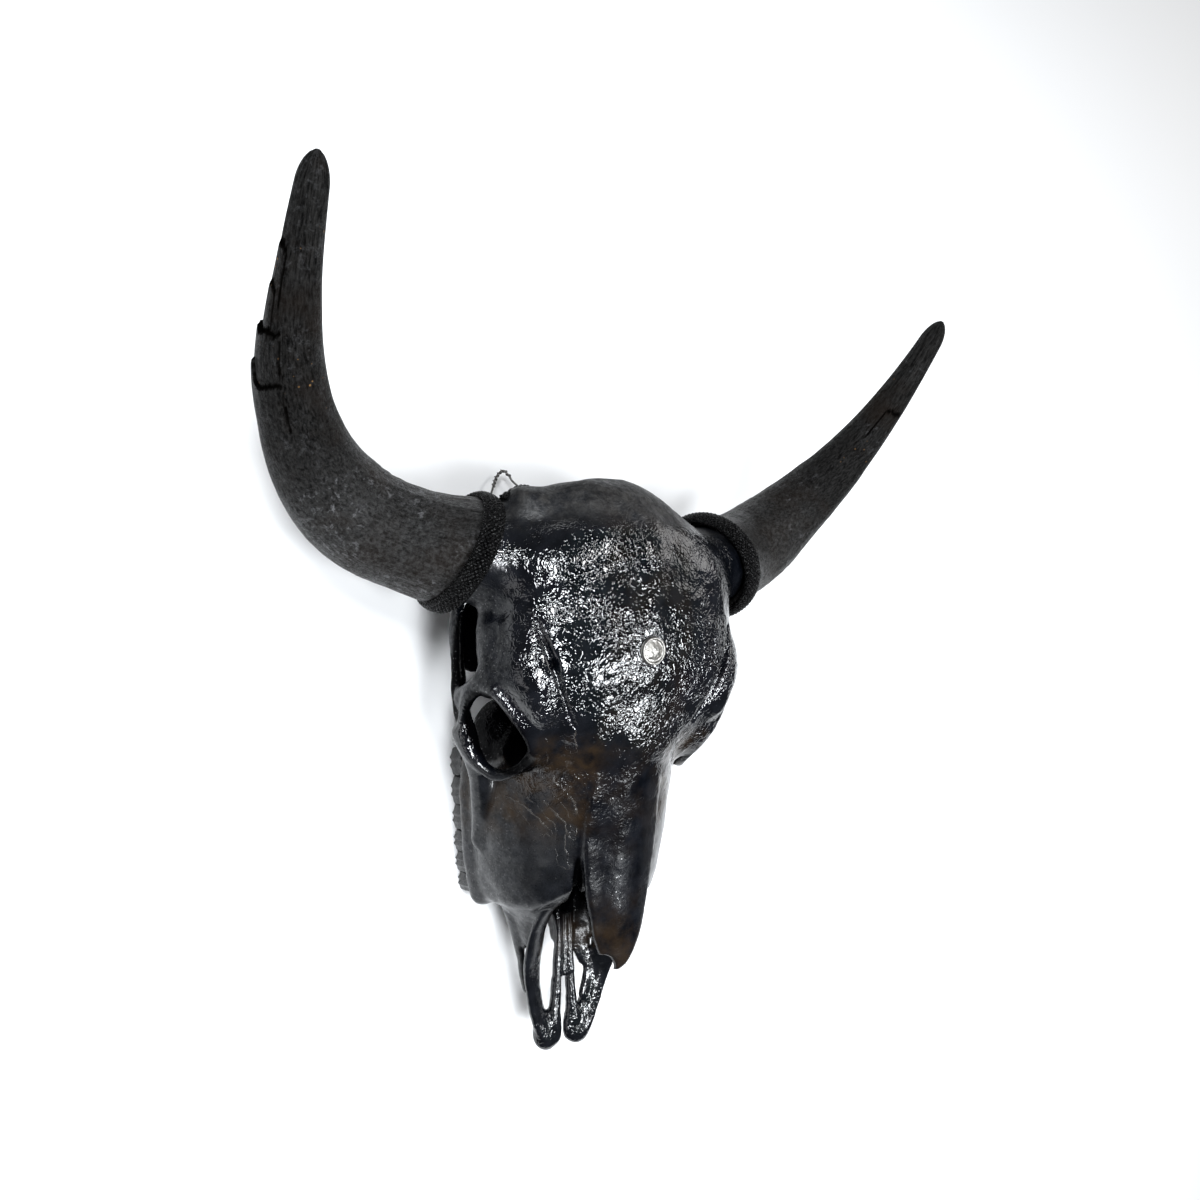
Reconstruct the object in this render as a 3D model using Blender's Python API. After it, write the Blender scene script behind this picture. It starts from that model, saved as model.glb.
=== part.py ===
"""Painted bison skull with dry horn sheaths, braided cords, a forehead stud and a hanging wire.

All dimensions are in millimetres. X runs to the animal's left, Y from the nose to the crest,
Z from the chewing faces of the teeth up to the forehead. The skull lies on its teeth.
"""
import math

import bmesh
import bpy
import numpy as np
from mathutils import Matrix, Vector

MM = 0.001
MERGE = 0.00002
NOSE_TO_ORIGIN = 345.8

# Skull: finish of the bone surface
MASS_VOXEL = 3.0
HOLLOW_VOXEL = 3.0
BONE_VOXEL = 2.5
MASS_SMOOTHING = 7
HOLLOW_SMOOTHING = 2
BONE_SMOOTHING = 3
SKULL_TRIANGLES = 3800

# Forehead, braincase and crest: y, half width, height of the widest line, top, bottom
FOREHEAD = [
    (278, 56, 160, 204, 140), (292, 72, 166, 210, 142), (308, 91, 172, 215, 142),
    (325, 110, 178, 220, 146), (342, 123, 184, 226, 150), (356, 127, 184, 230, 150),
    (375, 123, 184, 233, 150), (400, 120, 180, 236, 148), (425, 119, 176, 238, 140),
    (450, 114, 172, 239, 130), (470, 104, 166, 237, 120), (485, 88, 162, 232, 115),
    (498, 74, 156, 225, 112), (508, 61, 152, 215, 112), (517, 49, 150, 202, 112),
]
FOREHEAD_POWER = 2.3
# The crest leans to the animal's right and back: shift, then where it sets in along Y and Z
# and where it fades out across X
CREST_LEAN = (-15.0, 5.0, 0.0)
CREST_START = (478.0, 514.0)
CREST_RISE = (128.0, 190.0)
CREST_SIDES = (86.0, 116.0)
# Muzzle: y, half width, height of the widest line, top, bottom
MUZZLE = [
    (98, 44, 76, 100, 56), (115, 49, 80, 112, 54), (130, 55, 84, 135, 52),
    (138, 63, 84, 146, 43), (147, 76, 82, 158, 24), (160, 82, 84, 165, 22),
    (180, 86, 88, 171, 22), (205, 89, 92, 178, 22), (235, 91, 96, 187, 22),
    (262, 91, 102, 197, 22), (285, 86, 114, 205, 24), (305, 74, 136, 210, 56),
    (330, 60, 150, 214, 96),
]
MUZZLE_POWER = 1.95
MUZZLE_POWER_BELOW = 3.6
NOSE_CAVITY = [
    (60, 30, 90, 130, 64), (100, 36, 95, 140, 66), (140, 38, 100, 152, 68),
    (180, 37, 105, 160, 70), (220, 36, 110, 160, 70), (260, 30, 110, 150, 74),
    (285, 22, 105, 130, 80),
]
PALATE_VAULT = [
    (60, 40, 20, 54, -30), (120, 44, 20, 53, -30), (160, 52, 15, 52, -30),
    (220, 57, 15, 52, -30), (280, 57, 15, 56, -30), (320, 58, 20, 70, -30),
]
THROAT = [(268, 17, 80, 100, 40), (300, 20, 80, 108, 30), (345, 20, 80, 105, 30)]
CAVITY_POWER = 2.6
# Edge of the open nose in the side view: y, height
NOSE_EDGE = [(40, 75), (95, 84), (118, 92), (137, 112), (150, 136), (162, 154), (172, 166), (190, 190)]
NOSE_EDGE_BACK = 178.0
NOSE_CUT_FRONT = 40
NOSE_CUT_HALF = 70
NOSE_CUT_TOP = 215
# Nasal bones: y, half width, top, side drop
NASALS = [
    (89, 3, 161, 1), (93, 9, 163, 1.5), (100, 15, 165, 3), (112, 21.5, 168, 5),
    (125, 26, 171, 6), (140, 29, 174, 7.5), (160, 33, 177, 9), (180, 36, 180, 10),
    (200, 38, 183, 10), (230, 38, 190, 10), (265, 34, 199, 9), (295, 24, 207, 6),
]
NASAL_THICKNESS = 5.5

# Horns: control points of the centre line and radii from base to tip
HORN_LINE = [
    (136, 460, 136), (195, 472, 118), (243, 504, 124), (279, 543, 154),
    (301, 585, 203), (311, 635, 260), (314, 691, 313),
]
HORN_RADII = [47.0, 43.6, 36.2, 28.8, 20.5, 10.3]
HORN_TIP_ROUNDING = 10.0
# The base flares to an upright oval under the cord: extra height, narrowing, rise, reach along the horn
HORN_FLARE = (8.5, 2.5, 8.8, 0.16)
# The lower edge of the base turns out over the cord: growth, shift towards the skull, reach
HORN_LIP = (10.0, 6.0, 0.075)
HORN_LENGTH = 397.0
HORN_RINGS = 14
HORN_SIDES = 16
SOCKET_RINGS = 6
SOCKET_CLEARANCE = 2.0
CORE_RADII = [42.0, 38.5, 31.0, 22.0, 12.0]
CORE_LENGTH = 0.42
SOCKET_LENGTH = 0.44

# Braided cord round each horn base
CORD_CENTRE = (137.2, 459.4, 144.8)
CORD_AXIS = (0.925, 0.376, -0.057)
CORD_HALF_LENGTH = 50.3
CORD_HALF_HEIGHT = 61.0
CORD_WIDTH = 22.6
CORD_THICKNESS = 11.0
CORD_SEGMENTS = 22
CORD_SIDES = 6
# Loose end of the right cord, running behind the crest
CORD_TAIL = [(-109, 503, 170), (-101, 508, 170), (-91, 513, 165), (-80, 516, 155)]
CORD_TAIL_RADII = (7.5, 3.6)
CLEARANCE = 0.4

# Eye socket
EYE_CENTRE = (107, 304, 155)
EYE_AXIS = (0.777, -0.548, 0.31)
EYE_LENGTHWISE = (0.509, 0.836, 0.203)
EYE_RADII = (45, 38, 49)
EYE_DEPTH = 20.0

# Cheek teeth, front to back: y of the middle, length along the row, width across
TEETH = [(157, 17, 15), (176, 19, 18), (196, 20, 20), (219, 24, 22), (245, 27, 23), (273, 27, 22)]
TOOTH_OUTER_X = [80.5, 83, 84.5, 85.5, 86.5, 87]
TOOTH_ROOT_TOP = 31.0
TOOTH_SOCKET_GAP = 0.45
TOOTH_SIDES = 12
TOOTH_SQUARENESS = 0.5
TOOTH_RIB = 0.05

# Forehead stud
STUD_Y = 369.0
ABOVE_SKULL = 300
STUD_RADIUS = 12.0
STUD_RIM = 1.3
STUD_HEIGHT = 3.0
STUD_SLOPE = -0.16

# Hanging wire
WIRE_RADIUS = 1.1
# From the hook on the right side over the twisted peak towards the left side
WIRE_LEGS = [
    (-47, 538, 30), (-37, 556.5, 22), (-31.5, 564.5, 20), (-25, 568.5, 19), (-19, 563.5, 20), (-7, 551, 22),
]


def material(name, colour, roughness, metallic=0.0):
    mat = bpy.data.materials.new(name)
    mat.use_nodes = True
    shader = mat.node_tree.nodes["Principled BSDF"]
    shader.inputs["Base Color"].default_value = (*colour, 1.0)
    shader.inputs["Roughness"].default_value = roughness
    shader.inputs["Metallic"].default_value = metallic
    mat.diffuse_color = (*colour, 1.0)
    return mat


def place(point):
    """Design millimetres to scene metres."""
    return Vector((point[0] * MM, (point[1] - NOSE_TO_ORIGIN) * MM, point[2] * MM))


def curve_through(stations):
    """Smooth function of the first column through all stations."""
    table = np.array(sorted(stations), dtype=float)
    keys = table[:, 0]
    values = table[:, 1:]
    slopes = np.zeros_like(values)
    slopes[1:-1] = (values[2:] - values[:-2]) / (keys[2:] - keys[:-2])[:, None]
    slopes[0] = (values[1] - values[0]) / (keys[1] - keys[0])
    slopes[-1] = (values[-1] - values[-2]) / (keys[-1] - keys[-2])

    def at(key):
        key = min(max(float(key), keys[0]), keys[-1])
        i = min(max(int(np.searchsorted(keys, key, side="right")) - 1, 0), len(keys) - 2)
        span = keys[i + 1] - keys[i]
        t = (key - keys[i]) / span
        start = (2 * t ** 3 - 3 * t ** 2 + 1) * values[i] + (t ** 3 - 2 * t ** 2 + t) * span * slopes[i]
        finish = (3 * t ** 2 - 2 * t ** 3) * values[i + 1] + (t ** 3 - t ** 2) * span * slopes[i + 1]
        return start + finish
    return at


def smooth_path(points, per_span=4):
    at = curve_through([(i, *point) for i, point in enumerate(points)])
    count = (len(points) - 1) * per_span
    return [at(i / per_span) for i in range(count + 1)]


def bridge(bm, rings, closed=False):
    """Skin rings of points with quads; ends are capped unless the rings close on themselves."""
    loops = [[bm.verts.new(place(point)) for point in ring] for ring in rings]
    pairs = list(zip(loops[:-1], loops[1:]))
    if closed:
        pairs.append((loops[-1], loops[0]))
    for low, high in pairs:
        count = len(low)
        for i in range(count):
            j = (i + 1) % count
            bm.faces.new((low[i], low[j], high[j], high[i]))
    if not closed:
        bm.faces.new(list(reversed(loops[0])))
        bm.faces.new(loops[-1])
    return [vertex for loop in loops for vertex in loop]


def faces_out(bm):
    bmesh.ops.recalc_face_normals(bm, faces=bm.faces[:])
    if bm.calc_volume(signed=True) < 0:
        bmesh.ops.reverse_faces(bm, faces=bm.faces[:])


def add_piece(bm, piece, both_sides):
    """Copy a single closed piece into bm, and its mirror image where it is paired."""
    faces_out(piece)
    for side in (1, -1) if both_sides else (1,):
        new = [bm.verts.new(Vector((side * v.co.x, v.co.y, v.co.z))) for v in piece.verts]
        bm.verts.index_update()
        for face in piece.faces:
            loop = [new[v.index] for v in face.verts]
            bm.faces.new(loop if side > 0 else list(reversed(loop)))
    piece.free()


def add_ellipsoid(bm, centre, radii, turn=(0, 0, 0), both_sides=True, axes=None):
    piece = bmesh.new()
    bmesh.ops.create_uvsphere(piece, u_segments=28, v_segments=18, radius=1.0)
    scale = Matrix.Diagonal([r * MM for r in radii]).to_4x4()
    if axes is None:
        x, y, z = (math.radians(a) for a in turn)
        spin = Matrix.Rotation(z, 4, "Z") @ Matrix.Rotation(y, 4, "Y") @ Matrix.Rotation(x, 4, "X")
    else:
        spin = Matrix([Vector(axis).normalized() for axis in axes]).transposed().to_4x4()
    matrix = Matrix.Translation(place(centre)) @ spin @ scale
    bmesh.ops.transform(piece, matrix=matrix, verts=piece.verts[:])
    piece.verts.index_update()
    add_piece(bm, piece, both_sides)


def bar_frame(tangent, flat):
    wide = flat - flat.dot(tangent) * tangent
    wide.normalize()
    return wide, tangent.cross(wide)


def bar_rings(points, sizes, flat, per_span=4, sides=14, closed=False):
    """Oval rings along a smooth path, with rounded ends on an open bar."""
    pairs = [size if isinstance(size, tuple) else (size, size) for size in sizes]
    path = [Vector(p) for p in smooth_path(points, per_span)]
    radii = [(float(a), float(b)) for a, b in smooth_path(pairs, per_span)]
    if closed:
        path = path[:-1]
        radii = radii[:-1]
    count = len(path)
    rings = []
    for i, centre in enumerate(path):
        ahead = path[(i + 1) % count] if closed else path[min(i + 1, count - 1)]
        behind = path[i - 1] if closed else path[max(i - 1, 0)]
        tangent = (ahead - behind).normalized()
        wide, thin = bar_frame(tangent, Vector(flat))
        steps = [(0.0, 1.0)]
        reach = min(radii[i])
        if not closed and i == 0:
            steps = [(-0.95, 0.25), (-0.7, 0.7), (0.0, 1.0)]
        if not closed and i == count - 1:
            steps = [(0.0, 1.0), (0.7, 0.7), (0.95, 0.25)]
        for shift, shrink in steps:
            middle = centre + tangent * (shift * reach)
            rings.append([
                middle + shrink * (radii[i][0] * math.cos(a) * wide + radii[i][1] * math.sin(a) * thin)
                for a in (2 * math.pi * k / sides for k in range(sides))
            ])
    return rings


def add_bar(bm, points, sizes, flat=(0, 0, 1), both_sides=True, closed=False, per_span=4):
    piece = bmesh.new()
    bridge(piece, bar_rings(points, sizes, flat, per_span, closed=closed), closed)
    piece.verts.index_update()
    add_piece(bm, piece, both_sides)


def oval_ring(y, half_width, widest, top, bottom, power, power_below, sides=40):
    ring = []
    for k in range(sides):
        angle = 2 * math.pi * k / sides
        c = math.cos(angle)
        s = math.sin(angle)
        n = power if s >= 0 else power_below
        height = top - widest if s >= 0 else widest - bottom
        x = half_width * math.copysign(abs(c) ** (2 / n), c)
        z = widest + height * math.copysign(abs(s) ** (2 / n), s)
        ring.append((x, y, z))
    return ring


def add_loft(bm, stations, power, power_below=None, step=8.0):
    """Cross-sections through the head, joined from front to back."""
    at = curve_through(stations)
    first = stations[0][0]
    last = stations[-1][0]
    count = max(2, round((last - first) / step))
    piece = bmesh.new()
    rings = []
    for i in range(count + 1):
        y = first + (last - first) * i / count
        rings.append(oval_ring(y, *at(y), power, power_below or power))
    bridge(piece, rings)
    piece.verts.index_update()
    add_piece(bm, piece, both_sides=False)


def add_arched_plate(bm, stations, thickness, step=6.0, columns=12):
    """Plate that drops to both sides like a roof tile."""
    at = curve_through(stations)
    first = stations[0][0]
    last = stations[-1][0]
    count = round((last - first) / step)
    piece = bmesh.new()
    rings = []
    for i in range(count + 1):
        y = first + (last - first) * i / count
        half_width, top, drop = at(y)
        across = [-1 + 2 * k / columns for k in range(columns + 1)]
        upper = [(u * half_width, y, top - drop * u * u) for u in across]
        lower = [(u * half_width, y, top - drop * u * u - thickness) for u in reversed(across)]
        rings.append(upper + lower)
    bridge(piece, rings)
    piece.verts.index_update()
    add_piece(bm, piece, both_sides=False)


def new_object(name, bm, mat=None):
    mesh = bpy.data.meshes.new(name)
    bm.to_mesh(mesh)
    bm.free()
    obj = bpy.data.objects.new(name, mesh)
    bpy.context.collection.objects.link(obj)
    if mat:
        mesh.materials.append(mat)
    return obj


def add_remesh(obj, voxel, smoothing):
    remesh = obj.modifiers.new("Remesh", "REMESH")
    remesh.mode = "VOXEL"
    remesh.voxel_size = voxel * MM
    remesh.adaptivity = 0.0
    smooth = obj.modifiers.new("Smooth", "SMOOTH")
    smooth.factor = 0.5
    smooth.iterations = smoothing


def add_cut(obj, cutter, operation="DIFFERENCE"):
    cut = obj.modifiers.new("Cut", "BOOLEAN")
    cut.operation = operation
    cut.solver = "EXACT"
    cut.object = cutter
    cutter.hide_render = True
    cutter.display_type = "WIRE"


def settle(obj):
    """Replace an object's mesh with its modified one."""
    bpy.context.view_layer.update()
    graph = bpy.context.evaluated_depsgraph_get()
    mesh = bpy.data.meshes.new_from_object(obj.evaluated_get(graph))
    obj.modifiers.clear()
    obj.data = mesh


def remove(obj):
    bpy.data.objects.remove(obj, do_unlink=True)


def tidy_faces(obj):
    """Merge the near points that a cut leaves and split its faces into triangles."""
    bm = bmesh.new()
    bm.from_mesh(obj.data)
    bmesh.ops.remove_doubles(bm, verts=bm.verts[:], dist=MERGE)
    bmesh.ops.dissolve_degenerate(bm, dist=MERGE, edges=bm.edges[:])
    bmesh.ops.triangulate(bm, faces=bm.faces[:])
    bm.to_mesh(obj.data)
    bm.free()


def fit_round(obj, neighbour):
    """Cut a neighbour's shape out of an object, with a small clearance all round."""
    copy = bpy.data.objects.new(neighbour.name + "_grown", neighbour.data.copy())
    bpy.context.collection.objects.link(copy)
    grow = copy.modifiers.new("Grow", "DISPLACE")
    grow.strength = CLEARANCE * MM
    grow.mid_level = 0.0
    settle(copy)
    add_cut(obj, copy)
    settle(obj)
    tidy_faces(obj)
    remove(copy)


def drop_crumbs(obj):
    """Keep only the largest of the pieces that a cut has left."""
    bm = bmesh.new()
    bm.from_mesh(obj.data)
    bm.verts.ensure_lookup_table()
    pieces = []
    seen = set()
    for start in bm.verts:
        if start in seen:
            continue
        piece = [start]
        seen.add(start)
        for vert in piece:
            for edge in vert.link_edges:
                other = edge.other_vert(vert)
                if other not in seen:
                    seen.add(other)
                    piece.append(other)
        pieces.append(piece)
    pieces.sort(key=len)
    crumbs = [vert for piece in pieces[:-1] for vert in piece]
    bmesh.ops.delete(bm, geom=crumbs, context="VERTS")
    bm.to_mesh(obj.data)
    bm.free()


def horn_path(fraction):
    """Point of the horn's centre line, a cubic B-spline clamped at both ends."""
    points = [Vector(p) for p in HORN_LINE]
    spans = len(points) - 3
    knots = [0.0] * 4 + [i / spans for i in range(1, spans)] + [1.0] * 4
    t = min(max(fraction, 0.0), 1.0 - 1e-9)
    k = max(i for i in range(3, len(points)) if knots[i] <= t)
    work = [points[j + k - 3].copy() for j in range(4)]
    for level in range(1, 4):
        for j in range(3, level - 1, -1):
            low = knots[j + k - 3]
            high = knots[j + 1 + k - level]
            share = (t - low) / (high - low)
            work[j] = work[j - 1].lerp(work[j], share)
    return work[3]


def horn_tangent(fraction):
    low = max(fraction - 0.01, 0.0)
    high = min(fraction + 0.01, 1.0)
    return (horn_path(high) - horn_path(low)).normalized()


def horn_radius(fraction):
    return float(np.interp(fraction, np.linspace(0, 1, len(HORN_RADII)), HORN_RADII))


def core_radius(fraction):
    return float(np.interp(fraction / CORE_LENGTH, np.linspace(0, 1, len(CORE_RADII)), CORE_RADII))


def horn_flare(fraction):
    return max(0.0, 1 - fraction / HORN_FLARE[3]) ** 1.5


def horn_ring(fraction, radius, side, lip=0.0):
    """Ring round the centre line. Towards the base it grows taller and leans to lie along the cord."""
    flare = horn_flare(fraction)
    centre = horn_path(fraction) + Vector((0, 0, HORN_FLARE[2] * flare))
    tangent = horn_tangent(fraction)
    tall, thin = bar_frame(tangent, Vector((0, 0, 1)))
    normal = Vector(CORD_AXIS).normalized()
    half_height = radius + HORN_FLARE[0] * flare
    half_length = radius - HORN_FLARE[1] * flare
    ring = []
    for k in range(HORN_SIDES):
        angle = 2 * math.pi * k / HORN_SIDES
        offset = half_height * math.cos(angle) * tall + half_length * math.sin(angle) * thin
        lean = -offset.dot(normal) / tangent.dot(normal)
        turned_out = lip * (0.55 - 0.45 * math.cos(angle))
        point = centre + offset + tangent * (lean * flare - HORN_LIP[1] * turned_out)
        point += offset.normalized() * (HORN_LIP[0] * turned_out)
        ring.append((side * point.x, point.y, point.z))
    return ring


def make_horn(name, side, mat, skull):
    """Hollow horn sheath: outside from base to tip, then the socket for the bony core."""
    rings = []
    for i in range(HORN_RINGS + 1):
        t = (i / HORN_RINGS) ** 1.25
        left = (1.0 - t) * HORN_LENGTH
        rounding = math.sqrt(max(0.0, 1 - (1 - min(left / HORN_TIP_ROUNDING, 1.0)) ** 2))
        radius = max(horn_radius(t) * rounding, 2.5)
        rings.append(horn_ring(t, radius, side, max(0.0, 1 - t / HORN_LIP[2]) ** 1.5))
    socket = []
    for i in range(SOCKET_RINGS + 1):
        t = SOCKET_LENGTH * i / SOCKET_RINGS
        radius = core_radius(t) + SOCKET_CLEARANCE
        socket.append(horn_ring(t, radius, side))
    bm = bmesh.new()
    outer = [[bm.verts.new(place(p)) for p in ring] for ring in rings]
    inner = [[bm.verts.new(place(p)) for p in ring] for ring in socket]
    loops = list(reversed(inner)) + outer
    for low, high in zip(loops[:-1], loops[1:]):
        for i in range(HORN_SIDES):
            j = (i + 1) % HORN_SIDES
            bm.faces.new((low[i], low[j], high[j], high[i]))
    bm.faces.new(list(reversed(loops[0])))
    bm.faces.new(loops[-1])
    faces_out(bm)
    bmesh.ops.triangulate(bm, faces=bm.faces[:])
    horn = new_object(name, bm, mat)
    fit_round(horn, skull)
    horn.data.shade_smooth()
    return horn


def skull_mass():
    """Everything of the head that is thick: forehead, braincase, muzzle, horn cores, skull base."""
    bm = bmesh.new()
    add_loft(bm, FOREHEAD, FOREHEAD_POWER)
    add_loft(bm, MUZZLE, MUZZLE_POWER, MUZZLE_POWER_BELOW)
    add_ellipsoid(bm, (0, 436, 128), (76, 82, 74), both_sides=False)
    add_ellipsoid(bm, (0, 488, 140), (88, 28, 62), both_sides=False)
    add_ellipsoid(bm, (0, 497, 202), (46, 20, 16), (-25, 0, 0), both_sides=False)
    add_ellipsoid(bm, (-72, 489, 175), (39, 22, 27), both_sides=False)
    neck = [(64, 440, 172), (102, 450, 156)]
    neck_sizes = [(50.0, 44.0), (51.0, 43.0)]
    for i in range(5):
        t = CORE_LENGTH * i / 4
        flare = horn_flare(t)
        neck.append(tuple(horn_path(t) + Vector((0, 0, HORN_FLARE[2] * flare))))
        neck_sizes.append((CORE_RADII[i] + HORN_FLARE[0] * flare, CORE_RADII[i] - HORN_FLARE[1] * flare))
    add_bar(bm, neck, neck_sizes)
    add_ellipsoid(bm, (86, 316, 158), (38, 44, 38), (0, -10, -20))
    add_ellipsoid(bm, (92, 462, 100), (34, 34, 44), (0, 10, 0))
    add_ellipsoid(bm, (98, 434, 96), (26, 20, 14))
    cheek = [(122, 304, 112), (108, 272, 108), (97, 238, 90), (90, 205, 72)]
    add_bar(bm, cheek, [(12, 9), (11, 8), (8, 6), (5, 4)])
    base = [(0, 500, 76), (0, 440, 66), (0, 385, 74), (0, 335, 92)]
    add_bar(bm, base, [(22, 13), (24, 12), (17, 11), (12, 10)], (1, 0, 0), both_sides=False)
    add_ellipsoid(bm, (27, 505, 80), (19, 19, 26), (-15, -20, 0))
    process = [(72, 478, 84), (72, 484, 52), (66, 488, 26), (63, 488, 7)]
    add_bar(bm, process, [(20, 12), (16, 10), (11, 8), (8.5, 7.5)], (1, 0, 0))
    add_ellipsoid(bm, (46, 436, 60), (13, 20, 17))
    gum = [(69, 150, 38), (73, 185, 37), (74.5, 220, 37), (75, 255, 38), (73, 288, 42)]
    add_bar(bm, gum, [(12, 15), (14.5, 16), (14.5, 16), (14.5, 16), (13, 15)], (1, 0, 0))
    add_ellipsoid(bm, (72, 304, 80), (21, 28, 24))
    add_ellipsoid(bm, (99, 346, 201), (16, 36, 15), (0, 25, -12))
    return new_object("skull_mass", bm)


def skull_hollows():
    """Eye sockets, temples, open nose, palate, throat, brain opening and ear openings."""
    bm = bmesh.new()
    axis = Vector(EYE_AXIS).normalized()
    along = Vector(EYE_LENGTHWISE).normalized()
    across = axis.cross(along)
    eye = Vector(EYE_CENTRE) - axis * EYE_DEPTH
    add_ellipsoid(bm, eye, EYE_RADII, axes=(along, across, axis))
    add_ellipsoid(bm, (104, 374, 126), (27, 50, 36))
    add_ellipsoid(bm, (102, 354, 82), (28, 35, 44))
    add_loft(bm, NOSE_CAVITY, CAVITY_POWER)
    add_loft(bm, PALATE_VAULT, CAVITY_POWER)
    add_loft(bm, THROAT, CAVITY_POWER)
    brain = [(0, 540, 104), (0, 500, 106), (0, 470, 112)]
    add_bar(bm, brain, [(21, 18), (19, 17), (24, 24)], (1, 0, 0), both_sides=False)
    add_bar(bm, [(140, 444, 90), (122, 446, 92), (104, 448, 92)], [6, 6, 5])
    slit = [(41, 188, 168), (38, 172, 162), (35, 156, 154), (34, 142, 146)]
    add_bar(bm, slit, [(5, 3), (10, 4), (14, 5), (16, 6.5)], (0.3, 0, 1))
    edge = curve_through(NOSE_EDGE)
    rings = []
    for i in range(24):
        y = NOSE_CUT_FRONT + (NOSE_EDGE_BACK - NOSE_CUT_FRONT) * i / 23
        z = float(edge(y)[0])
        across = NOSE_CUT_HALF
        top = NOSE_CUT_TOP
        rings.append([(-across, y, z), (across, y, z), (across, y, top), (-across, y, top)])
    piece = bmesh.new()
    bridge(piece, rings)
    piece.verts.index_update()
    add_piece(bm, piece, both_sides=False)
    return new_object("skull_hollows", bm)


def add_thin_bones(bm):
    """Eye rims, cheek arches, nasal bones, front jaw bones, vomer, scrolls and winged bones."""
    rim = [
        (127, 340, 181), (109, 318, 187), (91, 295, 181), (88, 275, 158), (100, 266, 131),
        (117, 284, 118), (125, 308, 117), (128, 332, 134), (126, 345, 158), (127, 340, 181),
    ]
    add_bar(bm, rim, [(6, 5)] * len(rim), EYE_AXIS, closed=True)
    temple = [(122, 340, 170), (123, 372, 164), (119, 402, 158), (108, 428, 150)]
    add_bar(bm, temple, [(15, 6), (16, 6), (16, 6), (13, 7)])
    back_bar = [(125, 356, 172), (127, 347, 154), (127, 340, 134), (124, 334, 114)]
    add_bar(bm, back_bar, [(12, 5), (8, 5), (8, 5), (11, 6)], (0, 1, 0))
    arch = [
        (118, 300, 112), (120, 330, 103), (120, 360, 99), (120, 390, 99),
        (118, 412, 99), (108, 430, 99), (90, 442, 98),
    ]
    add_bar(bm, arch, [(12, 7), (11, 6), (9, 5.5), (9, 5.5), (10, 6), (12, 9), (14, 12)])
    add_ellipsoid(bm, (99, 392, 89), (24, 34, 9))
    add_arched_plate(bm, NASALS, NASAL_THICKNESS)
    jaw = [
        (44, 142, 116), (44, 122, 99), (42, 100, 86), (39, 80, 76),
        (35, 60, 70), (30, 40, 66), (23, 22, 63), (16, 8, 62),
    ]
    jaw_sizes = [(9, 4.5), (12, 4.5), (13.5, 4.5), (13, 4.5), (11.5, 4.5), (10.5, 5), (11, 5.5), (8, 5)]
    add_bar(bm, jaw, jaw_sizes, (0.8, 0, 0.5))
    tongue = [(6.5, 150, 66), (6.5, 110, 68), (7, 80, 68), (8, 60, 67), (10, 40, 65.5), (12, 24, 64)]
    add_bar(bm, tongue, [(5, 4.2), (5, 4.2), (5, 4.2), (5, 4.2), (5, 4.2), (7, 5)], (0, 0, 1))
    palate = [(0, 150, 67), (0, 110, 67), (0, 68, 66.5)]
    add_bar(bm, palate, [(6, 3.4), (6, 3.4), (5, 3.4)], (1, 0, 0), both_sides=False)
    add_ellipsoid(bm, (17, 17, 62), (15.5, 18, 6.5))
    strip = [(54, 140, 58), (48, 118, 60), (43, 95, 60), (40, 72, 60), (38, 58, 61)]
    add_bar(bm, strip, [(9, 5), (8, 4.5), (6, 4), (4.5, 3.5), (3.5, 3)])
    vomer = [(0, 130, 74), (0, 170, 82), (0, 230, 90), (0, 300, 95)]
    add_bar(bm, vomer, [(9, 3.2), (20, 3.2), (26, 3.2), (26, 3.2)], both_sides=False)
    scroll = [(24, 160, 112), (24, 200, 114), (22, 250, 112)]
    add_bar(bm, scroll, [(20, 5), (24, 6), (22, 6)], (0.25, 0, 1))
    wing = [(29, 318, 104), (30, 330, 78), (27, 336, 50)]
    add_bar(bm, wing, [(26, 5), (20, 4.5), (9, 4)], (0, 1, 0))


def tooth_outline(index, grow=0.0):
    """Rings of one cheek tooth of the left side, from the chewing face up to the root."""
    y, length, width = TEETH[index]
    outer = TOOTH_OUTER_X[index]
    rings = []
    for z, swell, lean in ((0.0, 0.96, 1.5), (12.0, 1.0, 0.5), (TOOTH_ROOT_TOP, 0.88, -2.0)):
        ring = []
        for k in range(TOOTH_SIDES):
            angle = 2 * math.pi * k / TOOTH_SIDES
            across = math.copysign(abs(math.cos(angle)) ** TOOTH_SQUARENESS, math.cos(angle))
            along = math.copysign(abs(math.sin(angle)) ** TOOTH_SQUARENESS, math.sin(angle))
            rib = 1.0 if k % 2 == 0 else 1.0 - TOOTH_RIB
            x = outer - width / 2 - lean + (width / 2 * swell * rib + grow) * across
            ring.append((x, y + (length / 2 * swell * rib + grow) * along, z))
        rings.append(ring)
    if grow:
        rings[0] = [(x, y, -5.0) for x, y, z in rings[0]]
        rings[-1] = [(x, y, z + grow) for x, y, z in rings[-1]]
    return rings


def tooth_piece(index, grow=0.0):
    piece = bmesh.new()
    bridge(piece, tooth_outline(index, grow))
    piece.verts.index_update()
    return piece


def make_teeth(mat):
    for side, word in ((1, "left"), (-1, "right")):
        for index in range(len(TEETH)):
            bm = tooth_piece(index)
            if side < 0:
                bmesh.ops.scale(bm, vec=(-1, 1, 1), verts=bm.verts[:])
            faces_out(bm)
            bmesh.ops.triangulate(bm, faces=bm.faces[:])
            new_object(f"tooth_{word}_{index + 1}", bm, mat)


def ease(value, limits):
    share = min(max((value - limits[0]) / (limits[1] - limits[0]), 0.0), 1.0)
    return share * share * (3 - 2 * share)


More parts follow.
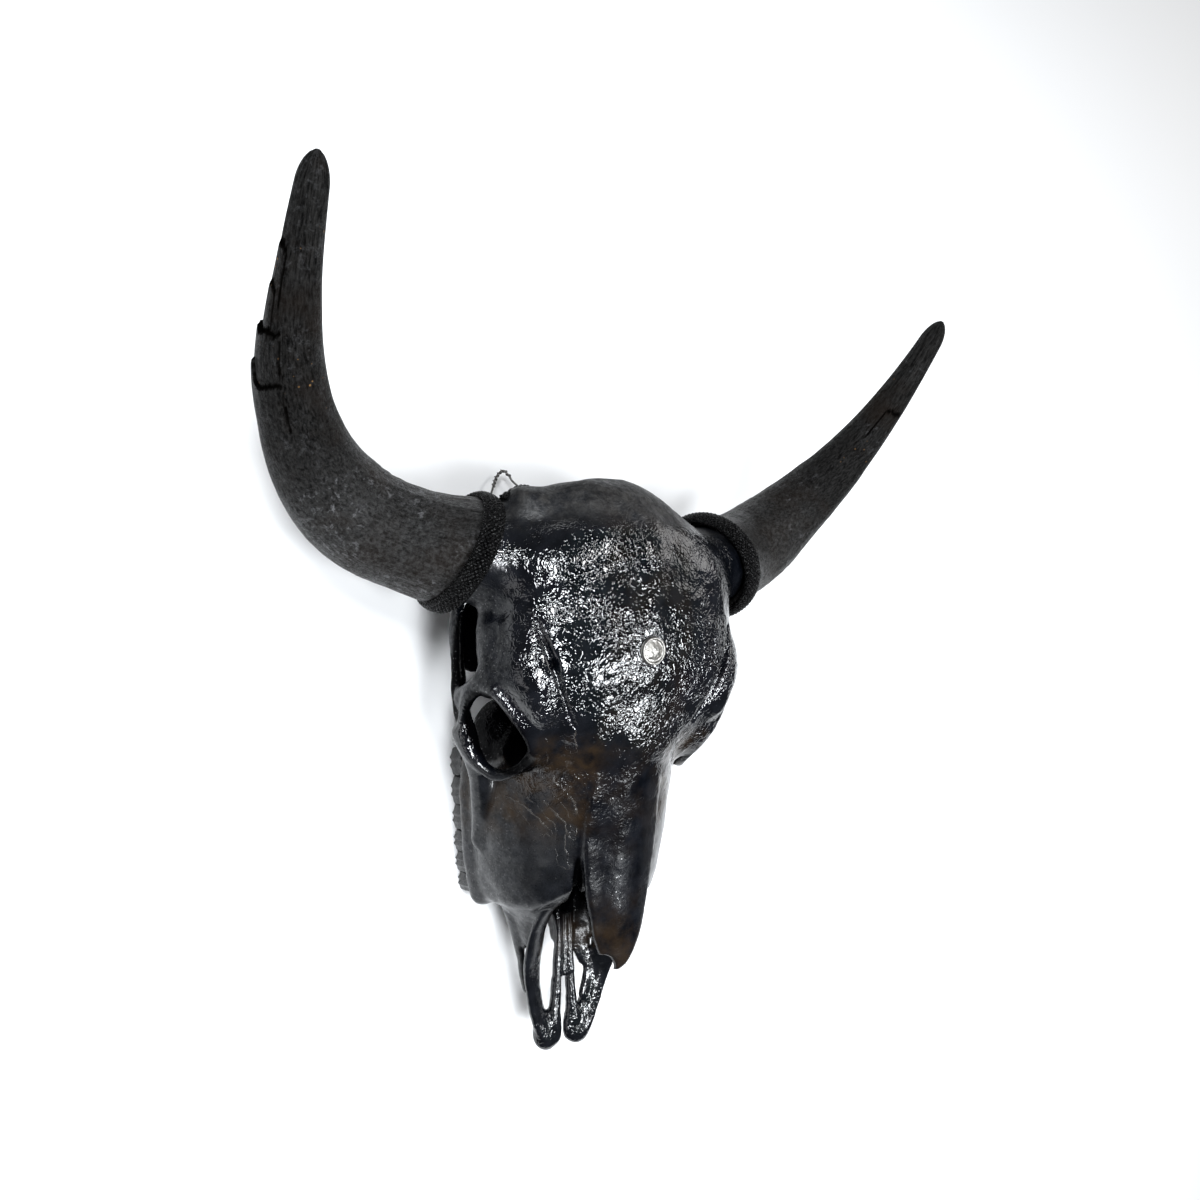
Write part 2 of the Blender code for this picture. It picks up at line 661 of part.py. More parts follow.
def lean_crest(obj):
    """Shift the top of the crest sideways, easing in from the forehead and from the braincase."""
    for vertex in obj.data.vertices:
        share = ease(vertex.co.y / MM + NOSE_TO_ORIGIN, CREST_START)
        share *= ease(vertex.co.z / MM, CREST_RISE)
        share *= 1.0 - ease(abs(vertex.co.x) / MM, CREST_SIDES)
        vertex.co += Vector(CREST_LEAN) * (share * MM)


def make_skull(mat):
    mass = skull_mass()
    add_remesh(mass, MASS_VOXEL, MASS_SMOOTHING)
    hollows = skull_hollows()
    add_remesh(hollows, HOLLOW_VOXEL, HOLLOW_SMOOTHING)
    settle(hollows)
    add_cut(mass, hollows)
    settle(mass)
    lean_crest(mass)
    bm = bmesh.new()
    bm.from_mesh(mass.data)
    add_thin_bones(bm)
    remove(mass)
    remove(hollows)
    skull = new_object("skull", bm, mat)
    add_remesh(skull, BONE_VOXEL, BONE_SMOOTHING)
    settle(skull)
    skull.data.calc_loop_triangles()
    thin = skull.modifiers.new("Decimate", "DECIMATE")
    thin.ratio = SKULL_TRIANGLES / len(skull.data.loop_triangles)
    thin.use_collapse_triangulate = True
    settle(skull)
    sockets = bmesh.new()
    for index in range(len(TEETH)):
        add_piece(sockets, tooth_piece(index, TOOTH_SOCKET_GAP), both_sides=True)
    add_ellipsoid(sockets, (-15, 88, 163), (13.5, 17, 16), (0, 0, 12), both_sides=False)
    cutter = new_object("tooth_sockets", sockets)
    add_cut(skull, cutter)
    settle(skull)
    remove(cutter)
    skull.data.materials.clear()
    skull.data.materials.append(mat)
    skull.data.shade_smooth()
    return skull


def cord_guide(side):
    """Middle line of the cord: an upright oval in one slanting plane round the horn's base."""
    centre = Vector(CORD_CENTRE)
    normal = Vector(CORD_AXIS).normalized()
    along = normal.cross(Vector((0, 0, 1))).normalized()
    upward = along.cross(normal)
    points = []
    for k in range(CORD_SEGMENTS):
        angle = 2 * math.pi * k / CORD_SEGMENTS
        point = centre + CORD_HALF_LENGTH * math.cos(angle) * along
        point = point + CORD_HALF_HEIGHT * math.sin(angle) * upward
        points.append(Vector((side * point.x, point.y, point.z)))
    return points


def make_cord(name, side, mat, neighbours):
    """Flat braided cord, with the horn and the bone below it cut away to a close fit."""
    points = cord_guide(side)
    count = len(points)
    normal = Vector((side * CORD_AXIS[0], CORD_AXIS[1], CORD_AXIS[2])).normalized()
    rings = []
    for i, point in enumerate(points):
        tangent = (points[(i + 1) % count] - points[i - 1]).normalized()
        wide = normal
        out = tangent.cross(wide) * side
        ring = []
        for k in range(CORD_SIDES):
            angle = 2 * math.pi * (k + 0.5) / CORD_SIDES
            across = CORD_WIDTH / 2 * math.cos(angle) * wide
            ring.append(point + across + CORD_THICKNESS / 2 * math.sin(angle) * out)
        rings.append(ring)
    bm = bmesh.new()
    bridge(bm, rings, closed=True)
    faces_out(bm)
    bmesh.ops.triangulate(bm, faces=bm.faces[:])
    cord = new_object(name, bm, mat)
    for neighbour in neighbours:
        fit_round(cord, neighbour)
    cord.data.shade_smooth()
    return cord


def make_tail(mat, neighbours):
    """Loose end of the cord that leaves the right ring and runs behind the crest."""
    bm = bmesh.new()
    bridge(bm, bar_rings(CORD_TAIL, [CORD_TAIL_RADII] * len(CORD_TAIL), (0, 0.3, 1), per_span=2, sides=6))
    faces_out(bm)
    bmesh.ops.triangulate(bm, faces=bm.faces[:])
    tail = new_object("cord_tail", bm, mat)
    for neighbour in neighbours:
        fit_round(tail, neighbour)
    drop_crumbs(tail)
    tail.data.shade_smooth()
    return tail


def make_stud(mat, skull):
    """Round stud with a raised rim and a low dome, set square on the forehead."""
    above = place((0, STUD_Y, ABOVE_SKULL))
    point = skull.ray_cast(above, Vector((0, 0, -1)))[1]
    normal = Vector((0, STUD_SLOPE, 1)).normalized()
    profile = [
        (0.0, 0.0), (STUD_RADIUS - 0.6, 0.0), (STUD_RADIUS, 0.7), (STUD_RADIUS, STUD_HEIGHT - 0.5),
        (STUD_RADIUS - 0.5, STUD_HEIGHT), (STUD_RADIUS - STUD_RIM - 0.5, STUD_HEIGHT),
        (STUD_RADIUS - STUD_RIM - 1.0, STUD_HEIGHT - 0.8), (5.0, STUD_HEIGHT - 0.2),
        (0.0, STUD_HEIGHT + 0.4),
    ]
    bm = bmesh.new()
    line = [bm.verts.new(Vector((r * MM, 0, z * MM))) for r, z in profile]
    edges = [bm.edges.new(pair) for pair in zip(line[:-1], line[1:])]
    bmesh.ops.spin(bm, geom=line + edges, axis=(0, 0, 1), cent=(0, 0, 0), angle=2 * math.pi, steps=16)
    bmesh.ops.remove_doubles(bm, verts=bm.verts[:], dist=1e-6)
    faces_out(bm)
    bmesh.ops.triangulate(bm, faces=bm.faces[:])
    stud = new_object("forehead_stud", bm, mat)
    stud.rotation_euler = normal.to_track_quat("Z", "Y").to_euler()
    stud.location = point + normal * (CLEARANCE + 0.3) * MM
    stud.data.shade_smooth()
    stud.data.set_sharp_from_angle(angle=math.radians(40))
    return stud


def make_wire(mat):
    """Stiff hanging wire, hooked round the two bony points behind the ears."""
    hook = []
    for k in range(7):
        angle = math.radians(95 + 42 * k)
        hook.append((68 + 19 * math.cos(angle), 486 + 15 * math.sin(angle), 34.0 + 1.6 * k))
    right_hook = [(-x, y, z) for x, y, z in reversed(hook)]
    path = right_hook + WIRE_LEGS + hook
    rings = bar_rings(path, [WIRE_RADIUS] * len(path), (0.05, 0.1, 1), per_span=2, sides=5)
    bm = bmesh.new()
    bridge(bm, rings)
    faces_out(bm)
    bmesh.ops.triangulate(bm, faces=bm.faces[:])
    wire = new_object("hanging_wire", bm, mat)
    wire.data.shade_smooth()
    return wire


for old in list(bpy.data.objects):
    bpy.data.objects.remove(old, do_unlink=True)

bone_paint = material("black_bone_paint", (0.012, 0.014, 0.018), 0.22)
horn_keratin = material("dry_horn", (0.045, 0.041, 0.038), 0.62)
cord_fibre = material("black_cord", (0.010, 0.010, 0.011), 0.85)
stud_silver = material("silver_stud", (0.72, 0.71, 0.69), 0.28, 1.0)
wire_steel = material("steel_wire", (0.45, 0.44, 0.42), 0.4, 1.0)
tooth_paint = material("black_tooth_paint", (0.02, 0.021, 0.024), 0.35)

skull_object = make_skull(bone_paint)
for word, sign in (("left", 1), ("right", -1)):
    horn_object = make_horn(f"horn_{word}", sign, horn_keratin, skull_object)
    cord_object = make_cord(f"cord_{word}", sign, cord_fibre, [skull_object, horn_object])
make_tail(cord_fibre, [skull_object, horn_object, cord_object])
make_teeth(tooth_paint)
make_stud(stud_silver, skull_object)
make_wire(wire_steel)
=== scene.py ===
import math
import time
import bmesh
import bpy
import numpy as np
from mathutils import Matrix, Vector


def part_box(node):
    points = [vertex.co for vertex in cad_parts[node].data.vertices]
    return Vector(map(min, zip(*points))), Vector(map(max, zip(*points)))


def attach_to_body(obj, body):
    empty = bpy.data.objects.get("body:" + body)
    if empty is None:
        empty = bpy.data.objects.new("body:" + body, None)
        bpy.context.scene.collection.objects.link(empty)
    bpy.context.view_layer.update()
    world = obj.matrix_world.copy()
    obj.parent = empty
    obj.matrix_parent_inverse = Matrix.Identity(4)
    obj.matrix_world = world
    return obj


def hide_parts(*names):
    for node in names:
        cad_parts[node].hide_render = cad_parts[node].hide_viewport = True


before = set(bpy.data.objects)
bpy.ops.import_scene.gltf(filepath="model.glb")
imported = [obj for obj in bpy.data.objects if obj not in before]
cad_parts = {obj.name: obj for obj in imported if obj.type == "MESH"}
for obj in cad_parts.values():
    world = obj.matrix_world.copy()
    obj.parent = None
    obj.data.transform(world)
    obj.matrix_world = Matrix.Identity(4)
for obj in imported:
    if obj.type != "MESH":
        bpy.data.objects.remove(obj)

started = time.time()
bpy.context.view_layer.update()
scene = bpy.context.scene


def report(words):
    print(f"[{time.time() - started:5.1f} s] {words}", flush=True)


# Design space is in millimetres: x to the animal's left, y from the nose tip to the crest, z up
noseToOrigin = 345.8


def toMetres(points):
    return (np.asarray(points, float) - [0, noseToOrigin, 0]) * 0.001


# ---- camera at the photo's angle, taken from pairs of mirrored points on the skull
cameraData = bpy.data.cameras.new("Camera")
camera = bpy.data.objects.new("Camera", cameraData)
scene.collection.objects.link(camera)
scene.camera = camera
cameraPlace = Vector(toMetres([-514.3, 329.8, 924.8]))
viewAhead = Vector((0.5522, 0.0976, -0.828)).normalized()
viewUp = Vector((-0.0251, 0.9946, 0.1005))
viewRight = viewAhead.cross(viewUp).normalized()
viewUp = viewRight.cross(viewAhead)
viewTurn = Matrix((viewRight, viewUp, -viewAhead)).transposed().to_4x4()
camera.matrix_world = Matrix.Translation(cameraPlace) @ viewTurn
cameraData.lens = 30.14
cameraData.sensor_width = 36
cameraData.clip_start = 0.05
cameraData.dof.use_dof = False


# ---- small mesh and curve tools
def curveThrough(stations):
    table = np.array(sorted(stations), float)
    keys, values = table[:, 0], table[:, 1:]
    slopes = np.zeros_like(values)
    slopes[1:-1] = (values[2:] - values[:-2]) / (keys[2:] - keys[:-2])[:, None]
    slopes[0] = (values[1] - values[0]) / (keys[1] - keys[0])
    slopes[-1] = (values[-1] - values[-2]) / (keys[-1] - keys[-2])

    def at(where):
        where = np.clip(np.asarray(where, float), keys[0], keys[-1])
        i = np.clip(np.searchsorted(keys, where, side="right") - 1, 0, len(keys) - 2)
        span = keys[i + 1] - keys[i]
        t = ((where - keys[i]) / span)[..., None]
        span = span[..., None]
        return ((2 * t**3 - 3 * t**2 + 1) * values[i] + (t**3 - 2 * t**2 + t) * span * slopes[i]
                + (3 * t**2 - 2 * t**3) * values[i + 1] + (t**3 - t**2) * span * slopes[i + 1])
    return at


def smoothPath(points, perSpan=4):
    at = curveThrough([(i, *p) for i, p in enumerate(points)])
    return at(np.linspace(0, len(points) - 1, (len(points) - 1) * perSpan + 1))


def circle(count):
    return 2 * np.pi * np.arange(count) / count


def unit(v):
    return v / np.linalg.norm(v, axis=-1, keepdims=True)


def makeMesh(name, points, faces):
    mesh = bpy.data.meshes.new(name)
    faces = np.asarray(faces, np.int32)
    corners = faces.shape[1]
    mesh.vertices.add(len(points))
    mesh.vertices.foreach_set("co", toMetres(points).astype(np.float32).ravel())
    mesh.loops.add(faces.size)
    mesh.loops.foreach_set("vertex_index", faces.ravel())
    mesh.polygons.add(len(faces))
    mesh.polygons.foreach_set("loop_start", np.arange(0, faces.size, corners, dtype=np.int32))
    mesh.update(calc_edges=True)
    mesh.validate()
    mesh.shade_smooth()
    obj = bpy.data.objects.new(name, mesh)
    scene.collection.objects.link(obj)
    return obj


def closeEnds(obj):
    bm = bmesh.new()
    bm.from_mesh(obj.data)
    bmesh.ops.holes_fill(bm, edges=[e for e in bm.edges if e.is_boundary], sides=0)
    bmesh.ops.recalc_face_normals(bm, faces=bm.faces)
    bm.to_mesh(obj.data)
    bm.free()
    obj.data.shade_smooth()


def addValues(obj, name, values, kind="FLOAT"):
    layer = obj.data.attributes.new(name, kind, "POINT")
    layer.data.foreach_set("value" if kind == "FLOAT" else "vector", np.asarray(values, np.float32).ravel())


def gridFaces(rows, columns, closedRows=False):
    # quads of a grid whose columns run round
    r, c = np.meshgrid(np.arange(rows if closedRows else rows - 1), np.arange(columns), indexing="ij")
    a = r * columns + c
    b = r * columns + (c + 1) % columns
    d = (r + 1) % rows * columns + c
    e = (r + 1) % rows * columns + (c + 1) % columns
    return np.stack([a, b, e, d], -1).reshape(-1, 4)


def attach(obj, slot, *nodes):
    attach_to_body(obj, "root")
    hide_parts(*nodes)
    return obj


def makePiece(name, points, faces, material, slot, node, close=True):
    obj = makeMesh(name, points, faces)
    if close:
        closeEnds(obj)
    obj.data.materials.append(material)
    return attach(obj, slot, node)


def hashNoise(points, scale, seed):
    # smooth value noise from -1 to 1
    q = points * scale + seed * 17.31
    cell = np.floor(q).astype(np.int64)
    f = q - cell
    f = f * f * (3 - 2 * f)
    total = 0
    for i in (0, 1):
        for j in (0, 1):
            for k in (0, 1):
                h = (cell[:, 0] + i) * 73856093 ^ (cell[:, 1] + j) * 19349663 ^ (cell[:, 2] + k) * 83492791
                h = (h ^ (h >> 13)) * 1274126177 & 0x7FFFFFFF
                v = (h % 20011) / 10005.0 - 1
                w = 1
                for axis, upper in enumerate((i, j, k)):
                    w = w * (f[:, axis] if upper else 1 - f[:, axis])
                total = total + v * w
    return total


def layeredNoise(points, scale, seed, layers=3):
    total, size = 0, 1.0
    for i in range(layers):
        total = total + size * hashNoise(points, scale * 2.1**i, seed + i)
        size *= 0.5
    return total


# ---- the bone as a distance field, smoothly blended shape by shape
def smoothMin(a, b, k):
    h = np.maximum(k - np.abs(a - b), 0) / k
    return np.minimum(a, b) - h * h * (k / 4)


def turned(degrees):
    x, y, z = (math.radians(a) for a in degrees)
    m = Matrix.Rotation(z, 3, "Z") @ Matrix.Rotation(y, 3, "Y") @ Matrix.Rotation(x, 3, "X")
    return np.array(m)


def ellipsoid(centre, radii, turn=(0, 0, 0), axes=None):
    c, r = np.array(centre, float), np.array(radii, float)
    m = np.array(axes, float).T if axes is not None else turned(turn)
    reach = np.sqrt(((m * r) ** 2).sum(1))

    def distance(x, y, z):
        dx, dy, dz = x - c[0], y - c[1], z - c[2]
        near, steep = 0, 0
        for i in range(3):
            q = m[0, i] * dx + m[1, i] * dy + m[2, i] * dz
            near = near + (q / r[i]) ** 2
            steep = steep + (q / r[i] ** 2) ** 2
        near = np.sqrt(near)
        return near * (near - 1) / (np.sqrt(steep) + 1e-6)
    return distance, c - reach, c + reach


def bar(stations, flat=(0, 0, 1), perSpan=4):
    # stations: x, y, z, half width, half thickness
    table = smoothPath([(*s, s[3]) if len(s) == 4 else s for s in stations], perSpan)
    path, radii = table[:, :3], table[:, 3:]
    flat = np.array(flat, float)
    pieces = []
    for a, b, ra, rb in zip(path[:-1], path[1:], radii[:-1], radii[1:]):
        length = np.linalg.norm(b - a)
        t = (b - a) / length
        wide = unit(flat - flat.dot(t) * t)
        pieces.append((a, t, length, wide, np.cross(t, wide), ra, rb))
    biggest = radii.max()

    def distance(x, y, z):
        best = None
        for a, t, length, wide, thin, ra, rb in pieces:
            dx, dy, dz = x - a[0], y - a[1], z - a[2]
            h = dx * t[0] + dy * t[1] + dz * t[2]
            w = np.clip(h, 0, length) / length
            e = h - w * length
            du = dx * wide[0] + dy * wide[1] + dz * wide[2]
            dv = dx * thin[0] + dy * thin[1] + dz * thin[2]
            ru = ra[0] + (rb[0] - ra[0]) * w
            rv = ra[1] + (rb[1] - ra[1]) * w
            rt = np.minimum(ru, rv)
            near = np.sqrt((du / ru) ** 2 + (dv / rv) ** 2 + (e / rt) ** 2) + 1e-6
            steep = np.sqrt((du / ru**2) ** 2 + (dv / rv**2) ** 2 + (e / rt**2) ** 2) + 1e-6
            d = near * (near - 1) / steep
            best = d if best is None else np.minimum(best, d)
        return best
    return distance, path.min(0) - biggest, path.max(0) + biggest


def loft(stations, power, powerBelow=None, ends=8):
    # stations: y, half width, height of the widest line, top, bottom
    at = curveThrough(stations)
    s = np.array(stations, float)

    def distance(x, y, z):
        w, widest, top, bottom = np.moveaxis(at(y), -1, 0)
        h = np.where(z > widest, top - widest, widest - bottom)
        q, a = np.abs(z - widest) / h, np.abs(x) / w
        n = np.where(z > widest, power, powerBelow or power)
        k = (a**n + q**n) ** (1 / n) + 1e-6
        g = np.sqrt((a ** (n - 1) / w) ** 2 + (q ** (n - 1) / h) ** 2) * k ** (1 - n) + 1e-6
        d = np.maximum((k - 1) / g, -np.minimum(w, h))
        for e in (s[0, 0] - y, y - s[-1, 0]):
            d = -smoothMin(-d, -e, ends)
        return d
    wide = s[:, 1].max()
    return distance, np.array([-wide, s[0, 0], s[:, 4].min()]), np.array([wide, s[-1, 0], s[:, 3].max()])


def archedPlate(stations, thickness):
    # stations: y, half width, top, side drop
    at = curveThrough(stations)
    s = np.array(stations, float)
    edge = 1.6

    def distance(x, y, z):
        w, top, drop = np.moveaxis(at(y), -1, 0)
        middle = top - drop * (x / w) ** 2 - thickness / 2
        slope = 2 * drop * np.minimum(np.abs(x), w) / w**2
        dz = np.abs(z - middle) / np.sqrt(1 + slope**2) - thickness / 2
        dx = np.abs(x) - w
        dy = np.maximum(s[0, 0] - y, y - s[-1, 0])
        rounded = np.sqrt(sum(np.maximum(d + edge, 0) ** 2 for d in (dx, dy, dz))) - edge
        return np.where((dx < -edge) & (dy < -edge) & (dz < -edge), np.maximum(np.maximum(dx, dy), dz), rounded)
    wide, lowest = s[:, 1].max(), (s[:, 2] - s[:, 3]).min() - thickness
    return distance, np.array([-wide, s[0, 0], lowest]), np.array([wide, s[-1, 0], s[:, 2].max()])


def noseFront():
    edge = curveThrough([(40, 75), (95, 84), (118, 92), (137, 112), (150, 136), (162, 154), (172, 166),
            (190, 190)])

    def distance(x, y, z):
        return (edge(y)[..., 0] - z) * 0.6 + 0 * x
    return distance, np.array([-70, 40, 60]), np.array([70, 178, 200])


def band(value, low, high):
    share = np.clip((value - low) / (high - low), 0, 1)
    return share * share * (3 - 2 * share)


def fall(value, low, high):
    return 1 - band(value, low, high)


class Field:
    def __init__(self, low, high, step):
        self.step = step
        self.axes = [np.arange(a, b + step, step, dtype=np.float32) for a, b in zip(low, high)]
        self.d = np.full([len(a) for a in self.axes], 20, np.float32)

    def part(self, low, high, pad):
        where = ()
        for c, a, b in zip(self.axes, low, high):
            first, last = int((a - pad - c[0]) / self.step), int((b + pad - c[0]) / self.step) + 2
            where += (slice(max(0, first), max(0, last)),)
        x, y, z = (c[s] for c, s in zip(self.axes, where))
        return where, (x[:, None, None], y[None, :, None], z[None, None, :])

    def add(self, shape, blend, sign=1):
        where, p = self.part(shape[1], shape[2], blend + 4)
        if self.d[where].size:
            self.d[where] = sign * smoothMin(sign * self.d[where], shape[0](*p), blend)

    def cut(self, shape, blend):
        self.add(shape, blend, -1)

    def mirrored(self):
        # the x axis starts on the middle plane
        self.d = np.concatenate([self.d[:0:-1], self.d], 0)
        self.axes[0] = np.concatenate([-self.axes[0][:0:-1], self.axes[0]])

    def topAt(self, x, y):
        # height of the highest bone over a point
        i, j = (np.clip(np.round((v - axis[0]) / self.step).astype(int), 0, len(axis) - 1)
                for v, axis in zip((x, y), self.axes))
        column = self.d[i, j]
        k = len(self.axes[2]) - 1 - np.argmax((column < 0)[..., ::-1], axis=-1)
        k = np.minimum(k, len(self.axes[2]) - 2)
        low = np.take_along_axis(column, k[..., None], -1)[..., 0]
        high = np.take_along_axis(column, k[..., None] + 1, -1)[..., 0]
        return self.axes[2][k] + self.step * low / (low - high)

    def surface(self):
        # surface nets: one point in each cell that the bone's face crosses
        d = np.where(np.abs(self.d) < 1e-4, 1e-4, self.d)
        inside = d < 0
        nx, ny, nz = d.shape
        corners = [(i, j, k) for i in (0, 1) for j in (0, 1) for k in (0, 1)]
        count = sum(inside[i:nx - 1 + i, j:ny - 1 + j, k:nz - 1 + k].astype(np.int8) for i, j, k in corners)
        active = (count > 0) & (count < 8)
        ids = np.full(active.shape, -1, np.int32)
        cells = np.argwhere(active)
        ids[active] = np.arange(len(cells))
        value = {c: d[tuple((cells + c).T)] for c in corners}
        total, n = np.zeros((len(cells), 3)), np.zeros(len(cells))
        for a in corners:
            for axis in (0, 1, 2):
                if a[axis]:
                    continue
                b = tuple(1 if i == axis else v for i, v in enumerate(a))
                crosses = (value[a] < 0) != (value[b] < 0)
                share = np.where(crosses, value[a] / np.where(crosses, value[a] - value[b], 1), 0)
                for i in (0, 1, 2):
                    total[:, i] += np.where(crosses, a[i] + (share if i == axis else 0), 0)
                n += crosses
        points = (cells + total / n[:, None]) * self.step + [a[0] for a in self.axes]
        faces = []
        for axis in (0, 1, 2):
            others = [i for i in (0, 1, 2) if i != axis]
            first, second = [slice(1, -1)] * 3, [slice(1, -1)] * 3
            first[axis], second[axis] = slice(0, -1), slice(1, None)
            a, b = inside[tuple(first)], inside[tuple(second)]
            for flip, crossing in ((False, a & ~b), (True, ~a & b)):
                edge = np.argwhere(crossing)
                edge[:, others] += 1
                quad = []
                for du, dv in ((-1, -1), (0, -1), (0, 0), (-1, 0)):
                    c = edge.copy()
                    c[:, others] += (du, dv)
                    quad.append(ids[tuple(c.T)])
                quad = np.stack(quad, 1)
                faces.append(quad[:, ::-1] if flip != (axis == 1) else quad)
        return points, np.concatenate(faces)


# ---- horn line, shared by the bone core, the sheath and the cord
hornLine = np.array([(136, 460, 136), (195, 472, 118), (243, 504, 124), (279, 543, 154), (301, 585, 203),
        (311, 635, 260), (314, 691, 313)], float)
hornRadii = [47.0, 43.6, 36.2, 28.8, 20.5, 10.3]
# growth at the base in millimetres; reach is a share of the horn's length
hornFlare = {"taller": 8.5, "narrower": 2.5, "rise": 8.8, "reach": 0.16}
hornLength = 397.0
coreLength = 0.42
coreRadii = [42.0, 38.5, 31.0, 22.0, 12.0]
cordCentre = np.array([137.2, 459.4, 144.8])
cordAxis = unit(np.array([0.925, 0.376, -0.057]))


def hornPath(t):
    # cubic B-spline clamped at both ends
    t = np.clip(np.asarray(t, float), 0, 1 - 1e-9)
    n = len(hornLine)
    knots = np.concatenate([[0.0] * 4, np.arange(1, n - 3) / (n - 3), [1.0] * 4])
    basis = [((t >= knots[i]) & (t < knots[i + 1])).astype(float) for i in range(len(knots) - 1)]
    for degree in (1, 2, 3):
        new = []
        for i in range(len(knots) - 1 - degree):
            left = knots[i + degree] - knots[i]
            right = knots[i + degree + 1] - knots[i + 1]
            value = 0
            if left > 0:
                value = value + (t - knots[i]) / left * basis[i]
            if right > 0:
                value = value + (knots[i + degree + 1] - t) / right * basis[i + 1]
            new.append(value)
        basis = new
    return sum(b[..., None] * p for b, p in zip(basis, hornLine))


def radiusAlong(t, radii, reach=1.0):
    return curveThrough(list(zip(np.linspace(0, reach, len(radii)), radii)))(t)[:, 0]


def hornFlareAt(t):
    return np.maximum(0, 1 - np.asarray(t, float) / hornFlare["reach"]) ** 1.5


# ---- skull
crestLean = np.array([-15.0, 5.0, 0.0])
eyeAxis = np.array([0.777, -0.548, 0.31])
eyeAlong = np.array([0.509, 0.836, 0.203])
hollows = [
    ellipsoid(np.array([107, 304, 155]) - eyeAxis * 20, (45, 38, 49),
            axes=(eyeAlong, np.cross(eyeAxis, eyeAlong), eyeAxis)),
    ellipsoid((104, 374, 126), (27, 50, 36)),
    ellipsoid((102, 354, 82), (28, 35, 44)),
]
nasalHollow = loft([(60, 30, 90, 130, 64), (100, 36, 95, 140, 66), (140, 38, 100, 152, 68),
        (180, 37, 105, 160, 70), (220, 36, 110, 160, 70), (260, 30, 110, 150, 74), (285, 22, 105, 130, 80)], 2.6)
nasalSlit = bar([(41, 190, 168, 4, 2.2), (38, 172, 162, 10, 4), (35, 156, 154, 14, 5), (34, 142, 146, 16, 6.4)],
        (0.3, 0, 1))


